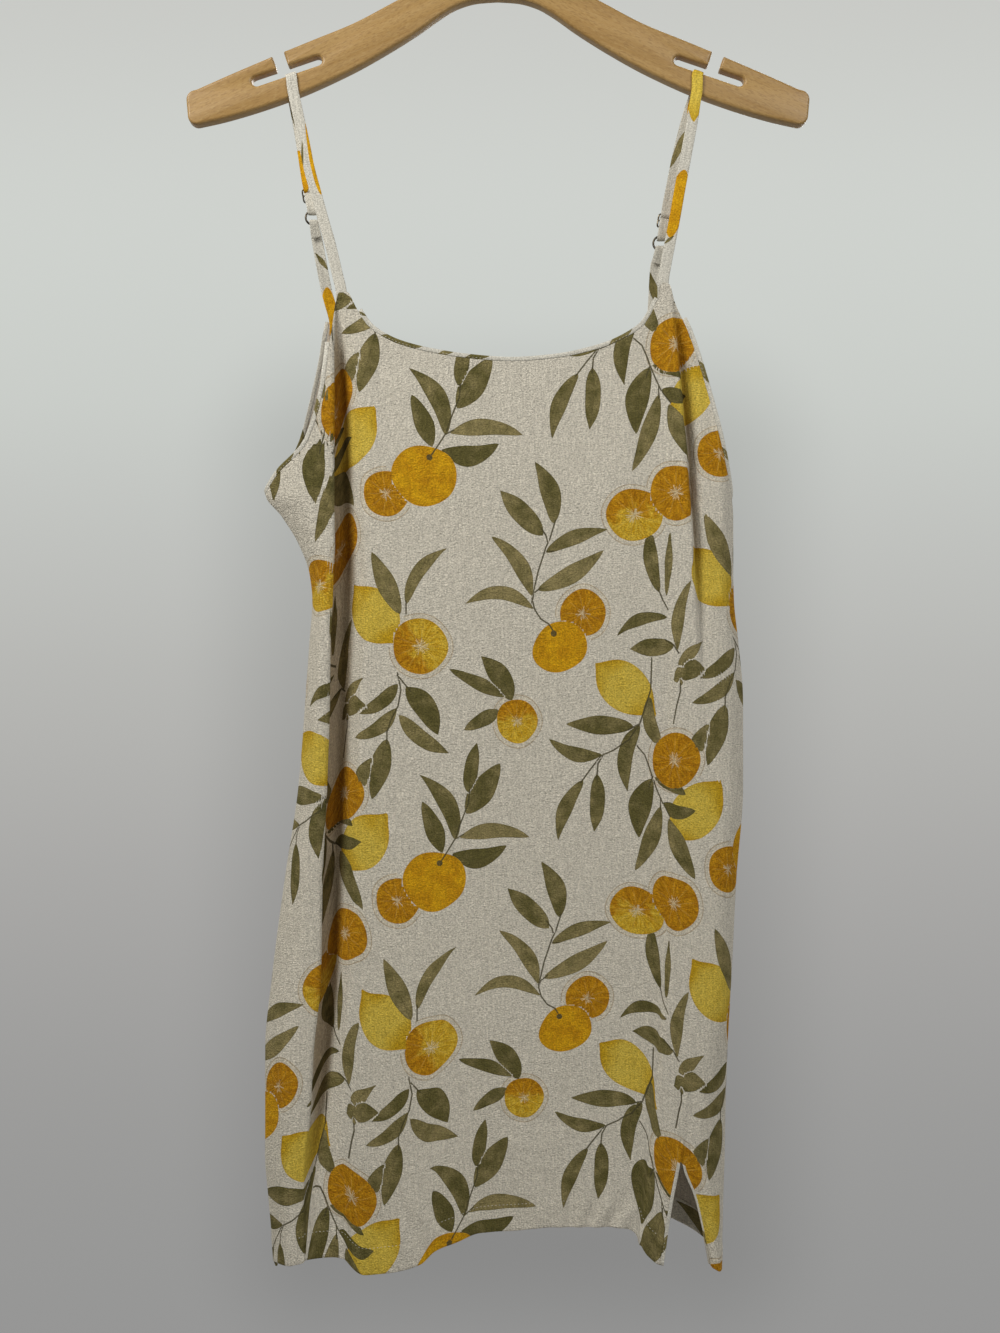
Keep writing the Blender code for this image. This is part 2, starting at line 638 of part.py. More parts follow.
def add_slider(side, material, collection):
    """The small plate with two slots that sets the strap's length."""
    start, _, _ = strand_frame(side)
    slot_width = SLIDER_WIDTH - 2 * SLIDER_BAR
    slot_height = (SLIDER_HEIGHT - 3 * SLIDER_BAR) / 2
    slot_centre = (slot_height + SLIDER_BAR) / 2
    outlines = [rectangle(SLIDER_WIDTH, SLIDER_HEIGHT, 1.2, 0.0)]
    for centre in (slot_centre, -slot_centre):
        outlines.append(rectangle(slot_width, slot_height, 0.4, centre))
    slider = flat_curve("slider_" + side, outlines, SLIDER_BAR, material, collection)
    slider.location = tuple(MM * (start + np.array([0.0, strap_y(), 0.0])))
    slider.rotation_euler = (math.pi / 2, -STRAND_LEAN[side], 0.0)
    return slider


def hanger_half():
    """Outline of the hanger's right half, from its top middle round to its low middle."""
    upper = np.array(HANGER_UPPER, float)

    def top(out):
        return (out, float(smooth_line(upper[:, 0], upper[:, 1], out)))

    along = np.array([math.cos(SLOT_TILT), -math.sin(SLOT_TILT)])
    up = np.array([math.sin(SLOT_TILT), math.cos(SLOT_TILT)])
    middle = np.array(SLOT_CENTRE)

    def slot_point(run, rise):
        return tuple(middle + run * along + rise * up)

    outline = [top(out) for out in np.linspace(0.0, MOUTH_INNER, 14)]
    outline.append(slot_point(MOUTH_FOOT_INNER, SLOT_RADIUS))
    for degrees in range(90, 271, 30):
        turn = math.radians(degrees)
        outline.append(slot_point(SLOT_RADIUS * math.cos(turn) - SLOT_HALF_LENGTH,
                                  SLOT_RADIUS * math.sin(turn)))
    for degrees in range(-90, 91, 30):
        turn = math.radians(degrees)
        outline.append(slot_point(SLOT_RADIUS * math.cos(turn) + SLOT_HALF_LENGTH,
                                  SLOT_RADIUS * math.sin(turn)))
    outline.append(slot_point(MOUTH_FOOT_OUTER, SLOT_RADIUS))
    outline += [top(out) for out in np.linspace(MOUTH_OUTER, HANGER_UPPER[-1][0], 5)]
    end_x, top_z = HANGER_UPPER[-1]
    low_x, low_z = HANGER_LOWER[0]
    radius = HANGER_END_RADIUS
    for degrees in (60, 30, 0):
        turn = math.radians(degrees)
        outline.append((end_x + radius * math.cos(turn), top_z - radius + radius * math.sin(turn)))
    for degrees in (0, -30, -60):
        turn = math.radians(degrees)
        outline.append((low_x + radius * math.cos(turn), low_z + radius + radius * math.sin(turn)))
    lower = np.array(HANGER_LOWER, float)[::-1]
    for out in np.linspace(low_x, 0.0, 14):
        outline.append((float(out), float(smooth_line(lower[:, 0], lower[:, 1], out))))
    return outline


def add_hanger(material, collection, cutters):
    """The wooden hanger: one flat shaped board with two strap notches and soft edges."""
    half = hanger_half()
    outline = half + [(-x, z) for x, z in reversed(half[1:-1])]
    board = flat_curve("board_outline", [outline], HANGER_THICKNESS, material, collection)
    board.rotation_euler = (math.pi / 2, 0.0, 0.0)
    bpy.context.view_layer.update()
    shape = board.evaluated_get(bpy.context.evaluated_depsgraph_get())
    mesh = bpy.data.meshes.new_from_object(shape)
    work = bmesh.new()
    work.from_mesh(mesh)
    bmesh.ops.remove_doubles(work, verts=work.verts, dist=0.00001)
    bmesh.ops.dissolve_limit(work, angle_limit=math.radians(1), verts=work.verts, edges=work.edges)
    work.to_mesh(mesh)
    work.free()
    hanger = bpy.data.objects.new("hanger", mesh)
    hanger.matrix_world = board.matrix_world.copy()
    collection.objects.link(hanger)
    bpy.data.objects.remove(board, do_unlink=True)

    edges = hanger.modifiers.new("soft_edges", "BEVEL")
    edges.width = HANGER_ROUNDING * MM
    edges.segments = 2
    edges.limit_method = "ANGLE"
    edges.angle_limit = math.radians(50)
    edges.use_clamp_overlap = False

    top_z = HANGER_UPPER[0][1]
    bpy.ops.mesh.primitive_cylinder_add(
        vertices=16, radius=(HOOK_WIRE / 2 + GAP) * MM, depth=2 * HOOK_DEPTH_IN_WOOD * MM,
        location=(0.0, 0.0, top_z * MM),
    )
    drill = bpy.context.object
    drill.name = "hook_hole_cutter"
    for owner in list(drill.users_collection):
        owner.objects.unlink(drill)
    cutters.objects.link(drill)
    drill.hide_render = True
    drill.display_type = "WIRE"
    hole = hanger.modifiers.new("hook_hole", "BOOLEAN")
    hole.operation = "DIFFERENCE"
    hole.solver = "EXACT"
    hole.object = drill
    return hanger


def add_hook(material, collection):
    """The bent steel hook: a straight shank out of the wood and an open round crook."""
    radius = HOOK_INNER_RADIUS + HOOK_WIRE / 2
    centre_z = -HOOK_INNER_RADIUS
    foot_z = HANGER_UPPER[0][1] - HOOK_DEPTH_IN_WOOD + GAP
    points = [(0.0, foot_z), (0.0, -75.0), (0.0, -60.0), (-1.0, -53.0), (-5.5, -46.5), (-12.5, -41.5)]
    for degrees in range(220, -31, -18):
        turn = math.radians(degrees)
        points.append((radius * math.cos(turn), centre_z + radius * math.sin(turn)))
    curve = bpy.data.curves.new("hook", "CURVE")
    curve.dimensions = "3D"
    curve.bevel_depth = HOOK_WIRE / 2 * MM
    curve.bevel_resolution = 2
    curve.use_fill_caps = True
    spline = curve.splines.new("POLY")
    spline.points.add(len(points) - 1)
    for point, (x, z) in zip(spline.points, points):
        point.co = (x * MM, 0.0, z * MM, 1.0)
    curve.materials.append(material)
    hook = bpy.data.objects.new("hook", curve)
    collection.objects.link(hook)
    return hook


def row_shares_with(slit_share):
    """Shares of the drop for each row, with one exactly at the top of the slit."""
    upper = list(np.linspace(0.0, slit_share, SLIT_ROW + 1))
    lower = list(np.linspace(slit_share, 1.0, 4))[1:]
    return upper + lower + [1.5, 2.0]


def build_front(material, binding, collection):
    """The front panel with its slit, and the bindings of its neck and armholes."""
    ridge_line = 12.0
    high = edge_at(FRONT_TOP, ridge_line)
    hem_line = edge_at(FRONT_HEM, ridge_line) + HEM_HEIGHT
    shares = row_shares_with((SLIT_TOP - high) / (hem_line - high))
    places, rows = panel_grid(front_section, FRONT_STEPS, FRONT_TOP, FRONT_HEM, shares)
    slit_column = int(np.argmin(np.abs(places - ridge_line)))

    def keep_face(row, column):
        return not (column == slit_column and row >= SLIT_ROW)

    add_panel("front_panel", rows, keep_face, True, material, collection)

    def column_of(across):
        return int(np.argmin(np.abs(places - across)))

    add_edge_binding("front_neck_binding", rows, column_of(7.0), column_of(11.0), -1,
                     binding, collection)
    add_edge_binding("front_armhole_binding_left", rows, 0, column_of(2.75), -1,
                     binding, collection)
    add_edge_binding("front_armhole_binding_right", rows, column_of(13.5), len(places) - 1, -1,
                     binding, collection)


def build_back(material, binding, collection):
    """The back panel and the bindings of its neck and armholes."""
    shares = list(np.linspace(0.0, 1.0, 20)) + [1.5, 2.0]
    places, rows = panel_grid(back_section, BACK_STEPS, BACK_TOP, BACK_HEM, shares)
    add_panel("back_panel", rows, lambda row, column: True, False, material, collection)

    def column_of(across):
        return int(np.argmin(np.abs(places - across)))

    add_edge_binding("back_neck_binding", rows, column_of(4.34), column_of(7.66), 1,
                     binding, collection)
    add_edge_binding("back_armhole_binding_left", rows, 0, column_of(3.0), 1,
                     binding, collection)
    add_edge_binding("back_armhole_binding_right", rows, column_of(9.0), len(places) - 1, 1,
                     binding, collection)


def build():
    """Builds every piece."""
    clear_scene()
    pieces = make_collection("mini_dress_on_hanger")
    cutters = make_collection("cutters")
    cloth = make_material("printed_cloth", (0.62, 0.57, 0.50), 0.85)
    trim = make_material("bias_binding", (0.60, 0.55, 0.47), 0.85)
    wood = make_material("beech_wood", (0.60, 0.38, 0.20), 0.45)
    bronze = make_material("slider_metal", (0.10, 0.09, 0.07), 0.4, 1.0)
    steel = make_material("hook_steel", (0.62, 0.62, 0.60), 0.25, 1.0)
    build_front(cloth, trim, pieces)
    build_back(cloth, trim, pieces)
    for side in ("left", "right"):
        add_long_strap(side, trim, pieces)
        add_back_strap(side, trim, pieces)
        add_ring(side, bronze, pieces)
        add_slider(side, bronze, pieces)
    add_hanger(wood, pieces, cutters)
    add_hook(steel, pieces)


build()
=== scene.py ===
"""Looks of the printed mini dress on its wooden hanger.

The form of every piece comes from the same named sizes as the part's solids, in
millimetres, and is made finer here; the cloth carries its print, weave and creases.
"""

import math

import bmesh
import bpy
import numpy as np
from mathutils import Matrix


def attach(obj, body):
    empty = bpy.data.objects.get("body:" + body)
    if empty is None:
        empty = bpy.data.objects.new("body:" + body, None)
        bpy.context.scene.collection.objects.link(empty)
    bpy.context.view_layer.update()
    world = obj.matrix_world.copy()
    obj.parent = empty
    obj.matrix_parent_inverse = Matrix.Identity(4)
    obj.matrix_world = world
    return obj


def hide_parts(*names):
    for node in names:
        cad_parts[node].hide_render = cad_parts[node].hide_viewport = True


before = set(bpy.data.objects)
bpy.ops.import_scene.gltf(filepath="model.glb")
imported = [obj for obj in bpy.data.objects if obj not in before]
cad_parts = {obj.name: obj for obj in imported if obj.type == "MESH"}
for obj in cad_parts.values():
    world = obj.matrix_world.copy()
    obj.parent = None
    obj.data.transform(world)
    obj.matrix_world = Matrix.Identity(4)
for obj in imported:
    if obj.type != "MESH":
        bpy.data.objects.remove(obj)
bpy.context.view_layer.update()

# Form of the dress
# The real one is two panels of light crinkled cloth with side seams, hung in folds. A
# panel is a set of sections across it, one for each height, and a cut edge above and below.

FRONT_COLUMNS = (
    "z", "left", "crest", "valley", "pleat", "ridge", "crease", "right",
    "forward", "left_fold", "pleat_step", "right_fold",
)
FRONT_STATIONS = (
    (-300, -168, -117.0, -109.0, 113, 122.0, 124.0, 169.0, 9.0, 0.3, 0.3, 0.5),
    (-329, -168, -118.0, -107.5, 115, 125.0, 127.0, 169.0, 10.0, 0.8, 0.4, 1.0),
    (-351, -168, -118.5, -106.0, 116, 127.0, 129.5, 169.0, 11.0, 4.0, 0.5, 4.0),
    (-380, -168, -118.0, -104.5, 118, 129.5, 132.0, 169.0, 13.0, 9.0, 0.5, 7.0),
    (-409, -168, -117.5, -102.0, 120, 132.0, 134.5, 169.0, 15.0, 11.0, 0.5, 9.0),
    (-444, -168, -117.5, -100.5, 122, 135.0, 137.5, 169.0, 17.0, 13.0, 0.5, 9.5),
    (-469, -168, -117.5, -99.5, 123, 136.0, 138.5, 169.0, 18.0, 14.0, 0.5, 9.5),
    (-485, -156, -117.5, -99.0, 123, 137.5, 140.0, 170.0, 18.5, 14.5, 0.5, 9.0),
    (-505, -144, -117.0, -98.0, 124, 139.0, 141.5, 170.0, 19.0, 15.0, 0.6, 8.5),
    (-527, -136, -118.0, -97.5, 124, 139.5, 142.0, 170.0, 19.5, 15.0, 0.8, 7.0),
    (-546, -134, -118.5, -98.0, 124, 141.0, 143.5, 170.5, 20.0, 15.0, 1.0, 5.0),
    (-575, -136, -120.0, -98.5, 124, 142.0, 145.0, 173.5, 20.5, 15.0, 1.5, 3.0),
    (-618, -139, -120.5, -101.0, 124, 143.5, 147.0, 177.0, 21.0, 15.0, 3.0, 1.0),
    (-680, -144, -122.5, -103.0, 123.5, 144.0, 148.0, 177.0, 22.0, 15.0, 4.0, 0.5),
    (-748, -154, -125.5, -105.5, 123, 144.0, 148.0, 172.0, 23.0, 15.0, 4.0, 0.5),
    (-817, -163, -126.5, -108.5, 120.5, 142.5, 146.5, 168.5, 24.0, 13.5, 3.5, 0.5),
    (-870, -168, -131.5, -112.0, 116, 138.0, 142.0, 165.5, 25.0, 12.0, 3.0, 0.5),
    (-916, -168, -134.0, -115.0, 112, 133.0, 136.0, 164.0, 25.5, 8.0, 2.5, 0.8),
    (-946, -168, -137.5, -116.5, 109, 129.8, 131.4, 163.5, 26.0, 5.0, 2.0, 1.0),
    (-973, -166, -139.0, -116.5, 106, 124.0, 140.5, 162.5, 26.0, 3.0, 1.2, 4.0),
    (-995, -164, -139.0, -116.0, 103, 120.0, 146.0, 162.0, 26.0, 2.0, 0.8, 6.0),
    (-1032, -161, -139.0, -115.0, 99, 114.0, 153.0, 161.0, 26.0, 1.0, 0.3, 9.0),
)
FRONT_TOP = (
    (0.0, -470.0), (1.0, -469.0), (1.5, -451.0), (2.0, -430.0), (2.4, -398.0),
    (2.75, -352.0), (3.0, -339.0), (4.0, -330.0), (5.0, -323.5), (6.0, -323.5),
    (7.0, -337.0), (7.25, -351.0), (7.5, -361.5), (7.75, -367.5), (8.0, -371.0),
    (8.5, -373.8), (9.0, -371.0), (9.33, -364.5), (9.67, -350.5), (10.0, -331.0),
    (11.0, -329.0), (11.5, -316.5), (12.0, -318.0), (13.0, -329.0), (13.5, -343.0),
    (14.0, -366.0), (15.0, -421.0), (16.0, -472.0), (17.0, -474.0),
)
FRONT_HEM = (
    (0.0, -1029.0), (1.0, -1023.0), (2.0, -1020.0), (3.0, -1018.0), (5.0, -1015.5),
    (6.0, -1014.0), (7.0, -1015.0), (7.33, -1026.5), (7.57, -1024.7), (7.8, -1019.0),
    (7.93, -1009.5), (8.16, -1002.6), (8.38, -996.5), (8.8, -994.6), (9.1, -992.6),
    (9.48, -992.6), (9.7, -993.5), (9.84, -997.0), (10.0, -1004.5), (11.0, -1006.0),
    (11.5, -1013.0), (12.0, -1019.5), (13.0, -1021.0), (15.0, -1026.0), (17.0, -1031.0),
)
BACK_COLUMNS = ("z", "strap_left", "strap_right", "backward", "soft_fold")
BACK_STATIONS = (
    (-300, -119, 112, 9.0, 0.0),
    (-345, -118, 112, 11.0, 0.5),
    (-410, -116, 112, 14.0, 2.0),
    (-470, -112, 110, 17.0, 3.5),
    (-560, -104, 108, 20.0, 5.0),
    (-700, -104, 108, 22.0, 6.0),
    (-850, -106, 108, 24.0, 6.5),
    (-1032, -108, 106, 26.0, 7.0),
)
BACK_TOP = (
    (0.0, -470.0), (1.0, -469.0), (2.0, -431.0), (2.6, -377.0), (3.0, -341.0),
    (4.0, -340.0), (5.0, -381.0), (6.0, -394.0), (7.0, -382.0), (8.0, -346.0),
    (9.0, -347.0), (9.4, -382.0), (10.0, -435.0), (11.0, -473.0), (12.0, -474.0),
)
BACK_HEM = (
    (0.0, -1029.0), (1.0, -1024.0), (2.0, -1012.0), (3.5, -1000.0), (6.0, -994.0),
    (8.5, -994.0), (10.0, -1005.0), (11.0, -1022.0), (12.0, -1031.0),
)
SEAM_GAP = 0.2
SLIT_TOP = -946.0
HEM_HEIGHT = 20.0
CREASE_TAPER = 1.6

# Creases: middle x and z, lean from upright in degrees, length, width, height.
FRONT_CREASES = (
    (-92, -420, 6, 75, 7, 0.9), (-78, -432, 10, 60, 6, -0.7), (-64, -415, 16, 45, 6, 0.5),
    (104, -470, -2, 120, 9, -1.3), (92, -520, -3, 130, 10, 0.9), (115, -560, 0, 90, 6, 0.7),
    (74, -985, -25, 34, 4, 1.3), (88, -990, -38, 30, 4, 1.2), (60, -984, -10, 32, 4, 1.2),
    (100, -1000, -52, 26, 4, 1.1), (44, -978, -4, 34, 5, 1.2), (52, -982, -6, 30, 4, -1.2),
    (67, -984, -16, 30, 4, -1.2), (81, -988, -30, 28, 4, -1.2), (30, -974, 4, 30, 5, 0.9),
    (18, -935, 82, 26, 4, 0.6), (26, -918, 84, 24, 4, -0.5), (8, -905, 78, 30, 5, 0.5),
    (34, -950, 80, 22, 4, 0.6),
    (-56, -985, 24, 30, 5, 1.3), (-44, -994, 40, 24, 4, 1.0), (-68, -1000, 10, 30, 5, 1.2),
    (-84, -990, 2, 40, 6, -0.8), (-30, -978, 50, 20, 4, 0.5), (-20, -960, 72, 26, 5, 0.5),
    (152, -474, 52, 30, 3, -0.8), (157, -486, 55, 26, 3, 0.7), (150, -505, 50, 26, 3, -0.6),
    (160, -520, 40, 22, 3, 0.6), (158, -620, 20, 60, 5, 0.6), (150, -700, 12, 80, 6, -0.6),
    (162, -820, 8, 90, 6, 0.7), (154, -900, -6, 60, 5, -0.6), (-130, -640, 4, 90, 5, 0.6),
    (-140, -800, 8, 110, 7, -0.8), (-152, -900, 4, 90, 6, 0.8), (-126, -950, -6, 60, 5, 0.6),
    (-150, -490, 30, 26, 4, 0.7), (-140, -512, 34, 22, 4, -0.6), (-60, -700, 3, 160, 16, 0.7),
    (20, -760, -2, 180, 18, -0.6), (60, -820, -5, 140, 14, 0.6), (-20, -560, 4, 150, 16, 0.5),
)
BACK_CREASES = (
    (-84, -430, 8, 80, 8, 0.9), (80, -436, -8, 80, 8, 0.9), (-60, -450, 14, 60, 7, -0.7),
    (60, -452, -14, 60, 7, -0.7), (-30, -600, 4, 180, 16, 0.8), (36, -660, -4, 190, 17, -0.8),
    (0, -820, 2, 160, 15, 0.7), (-66, -880, 6, 120, 10, -0.8), (74, -900, -6, 120, 11, 0.8),
    (-40, -975, 30, 30, 5, 0.7), (20, -980, -14, 28, 5, 0.7), (58, -978, -32, 26, 5, 0.7),
    (-130, -700, 6, 120, 8, 0.8), (140, -720, -6, 120, 8, 0.8), (-2, -960, 80, 34, 5, 0.5),
)


def nearest(values, wanted):
    """The number of the value nearest to the wanted one."""
    return int(np.argmin(np.abs(values - wanted)))


def run_along(path):
    """Length along a path up to each of its points."""
    return np.concatenate([[0.0], np.cumsum(np.linalg.norm(np.diff(path, axis=0), axis=1))])


def cubic(t, start, end, lean_start, lean_end):
    """The cubic from start to end, as t goes from 0 to 1, with a given lean at each end."""
    return ((1 + 2 * t) * (1 - t) ** 2 * start + t * (1 - t) ** 2 * lean_start) \
        + (t * t * (3 - 2 * t) * end + t * t * (t - 1) * lean_end)


def smooth_line(knots, values, at):
    """A curve through each value that never swings past it (monotone cubic)."""
    knots = np.asarray(knots, float)
    values = np.asarray(values, float)
    step = np.diff(knots)
    slope = np.diff(values) / step
    lean = np.zeros_like(values)
    same_way = slope[:-1] * slope[1:] > 0
    weight_a = 2 * step[1:] + step[:-1]
    weight_b = step[1:] + 2 * step[:-1]
    safe_a = np.where(same_way, slope[:-1], 1.0)
    safe_b = np.where(same_way, slope[1:], 1.0)
    mean = (weight_a + weight_b) / (weight_a / safe_a + weight_b / safe_b)
    lean[1:-1] = np.where(same_way, mean, 0.0)
    lean[0], lean[-1] = slope[0], slope[-1]
    at = np.clip(np.asarray(at, float), knots[0], knots[-1])
    cell = np.clip(np.searchsorted(knots, at, side="right") - 1, 0, len(step) - 1)
    width = step[cell]
    t = (at - knots[cell]) / width
    return cubic(t, values[cell], values[cell + 1], width * lean[cell], width * lean[cell + 1])


def between_lines(lines, across):
    """The smooth value at one place across, from the values of the lines beside it."""
    last = len(lines) - 1
    cell = min(int(across), last - 1)
    slope = [lines[k + 1] - lines[k] for k in range(last)]

    def lean(k):
        if k in (0, last):
            return slope[min(k, last - 1)]
        a, b = slope[k - 1], slope[k]
        same_way = a * b > 0
        safe_a, safe_b = np.where(same_way, a, 1), np.where(same_way, b, 1)
        return np.where(same_way, 2.0 / (1.0 / safe_a + 1.0 / safe_b), 0)

    return cubic(across - cell, lines[cell], lines[cell + 1], lean(cell), lean(cell + 1))


def stations_at(columns, stations, z):
    """The value of every named column at the heights z."""
    table = np.array(stations, float)[::-1]
    return {name: smooth_line(table[:, 0], table[:, place], z) for place, name in enumerate(columns)}


def front_lines(z):
    """The x and y of the front panel's named lines at the heights z."""
    s = stations_at(FRONT_COLUMNS, FRONT_STATIONS, z)
    face = -s["forward"]
    fold = s["left_fold"]
    side = s["crest"] - s["left"]
    lift = np.minimum(3.0, 0.3 * fold)
    start = s["valley"] + 6.0
    width = s["pleat"] - 1.0 - start
    flap = s["right"] - s["crease"]
    seam = np.full_like(face, -SEAM_GAP)
    lines = (
        (s["left"], seam), (s["left"], 0.3 * face), (s["crest"] - 0.35 * side, face - lift),
        (s["crest"], face - lift + 0.12 * fold),
        (s["crest"] - 0.3 * fold + 1.5, face + 0.5 * fold),
        (s["crest"] + 0.3 * (s["valley"] - s["crest"]), face + fold),
        (s["valley"] - 1.0, face + 0.3 * fold), (start, face),
        (start + width / 3, face - 0.5), (start + 2 * width / 3, face + 0.6),
        (s["pleat"] - 1.0, face + s["pleat_step"]), (s["pleat"] + 0.6, face - 0.4),
        (s["ridge"], face - np.minimum(1.5, 0.25 * s["right_fold"])),
        (s["crease"], face + s["right_fold"]),
        (s["crease"] + 0.3 * flap, 0.94 * face + 0.3 * s["right_fold"]),
        (s["crease"] + 0.66 * flap, 0.78 * face), (s["right"], 0.3 * face), (s["right"], seam),
    )
    return (np.array(values) for values in zip(*lines))


def back_lines(z):
    """The x and y of the back panel's named lines at the heights z."""
    outline = stations_at(FRONT_COLUMNS, FRONT_STATIONS, z)
    s = stations_at(BACK_COLUMNS, BACK_STATIONS, z)
    left, right, face, soft = outline["left"], outline["right"], s["backward"], s["soft_fold"]
    inner_left, inner_right = s["strap_left"] + 5, s["strap_right"] - 5
    width = inner_right - inner_left
    side_left, side_right = s["strap_left"] - 5 - left, right - s["strap_right"] - 5
    seam = np.full_like(face, SEAM_GAP)
    lines = (
        (left, seam), (left, 0.3 * face), (left + 0.5 * side_left, 0.85 * face),
        (s["strap_left"] - 5, face + 0.3 * soft), (s["strap_left"] + 5, face - 0.3 * soft),
        (inner_left + 0.25 * width, face + 0.5 * soft),
        (inner_left + 0.5 * width, face - 0.4 * soft),
        (inner_left + 0.75 * width, face + 0.5 * soft), (s["strap_right"] - 5, face - 0.2 * soft),
        (s["strap_right"] + 5, face + 0.3 * soft), (right - 0.5 * side_right, 0.85 * face),
        (right, 0.3 * face), (right, seam),
    )
    return (np.array(values) for values in zip(*lines))


def even_places(lines_at, spacing, stops):
    """Places across a panel an even arc length apart at mid height, with the stops kept."""
    fine = np.linspace(stops[0], stops[-1], 1701)
    xs, ys = lines_at(np.array([-700.0]))
    path = np.array([(between_lines(xs, t)[0], between_lines(ys, t)[0]) for t in fine])
    run = run_along(path)
    places = [float(stops[0])]
    for a, b in zip(stops, stops[1:]):
        low, high = np.interp([a, b], fine, run)
        count = max(2, round((high - low) / spacing))
        places += list(np.interp(np.linspace(low, high, count + 1)[1:], run, fine))
    return np.array(places)


def creases_at(table, x, z):
    """How far the listed creases push the cloth out at x and z."""
    push = np.zeros_like(x)
    for middle_x, middle_z, lean, length, width, height in table:
        turn = math.radians(lean)
        dx, dz = x - middle_x, z - middle_z
        along = dx * math.sin(turn) - dz * math.cos(turn)
        aside = dx * math.cos(turn) + dz * math.sin(turn)
        push += height * np.exp(-(along / length * CREASE_TAPER) ** 2 - (aside / width) ** 2)
    return push


def panel(lines_at, top, hem, places, row_count, row_at=None):
    """Points of a panel in rows from its cut top edge to its hem fold, and each one's share.

    A column keeps its place across the cloth and its rows share the drop evenly. row_at
    gives a place across and a height that one row has to pass through.
    """
    shares = np.linspace(0.0, 1.0, row_count)
    tops = smooth_line(*zip(*top), places)
    hems = smooth_line(*zip(*hem), places)
    if row_at:
        high, low = (smooth_line(*zip(*edge), row_at[0]) for edge in (top, hem))
        wanted = (row_at[1] - high) / (low - high)
        shares = np.interp(np.arange(row_count), [0, nearest(shares, wanted), row_count - 1], [0, wanted, 1])
    z = tops[None, :] + (hems - tops)[None, :] * shares[:, None]
    x, y = np.empty_like(z), np.empty_like(z)
    for c, across in enumerate(places):
        xs, ys = lines_at(z[:, c])
        x[:, c] = between_lines(xs, across)
        y[:, c] = between_lines(ys, across)
    return np.stack([x, y, z], axis=-1), shares


def outward(points, away):
    """Unit normals of a grid of points, turned to the side that away (-1 or 1) names in y."""
    down = np.gradient(points, axis=0)
    right = np.gradient(points, axis=1)
    normal = np.cross(down, right)
    normal /= np.maximum(np.linalg.norm(normal, axis=-1, keepdims=True), 1e-9)
    facing = np.sign(np.median(normal[..., 1])) or 1.0
    return normal * facing * away


def grid_faces(rows, columns, flip):
    """The four corners of each cell of a grid."""
    a = (np.arange(rows - 1)[:, None] * columns + np.arange(columns - 1)[None, :]).ravel()
    quad = np.stack([a, a + columns, a + columns + 1, a + 1], axis=1)
    return quad[:, ::-1] if flip else quad


def mesh_piece(name, points, faces, material, corner_maps=None):
    """A smooth-shaded object at the origin from points in millimetres and its faces."""
    points = np.asarray(points, float).reshape(-1, 3) * 0.001
    mesh = bpy.data.meshes.new(name)
    if isinstance(faces, np.ndarray):
        mesh.vertices.add(len(points))
        mesh.vertices.foreach_set("co", points.astype(np.float32).ravel())
        mesh.loops.add(faces.size)
        mesh.loops.foreach_set("vertex_index", faces.astype(np.int32).ravel())
        mesh.polygons.add(len(faces))
        mesh.polygons.foreach_set("loop_start", np.arange(0, faces.size, faces.shape[1], dtype=np.int32))
        mesh.update(calc_edges=True)
    else:
        mesh.from_pydata([tuple(p) for p in points], [], faces)
    for map_name, values in (corner_maps or {}).items():
        layer = mesh.uv_layers.new(name=map_name)
        layer.data.foreach_set("uv", np.asarray(values, np.float32).ravel())
    mesh.validate()
    mesh.shade_smooth()
    mesh.materials.append(material)
    item = bpy.data.objects.new(name, mesh)
    bpy.context.scene.collection.objects.link(item)
    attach(item, "root")
    return item


# Print of the cloth
# Fruit and leaf sprigs printed in flat watercolour tones. One repeat is charted here in
# millimetres, right and down, and each cell of the cloth keeps its place in the nearest
# motif, so the shader can draw its outline at any closeness.

REPEAT_WIDTH = 251.0
REPEAT_HEIGHT = 292.0
REPEAT_DROP = 29.0

PALE_BETWEEN_LEAVES = 0.32
FRUIT_MARGIN = 0.2

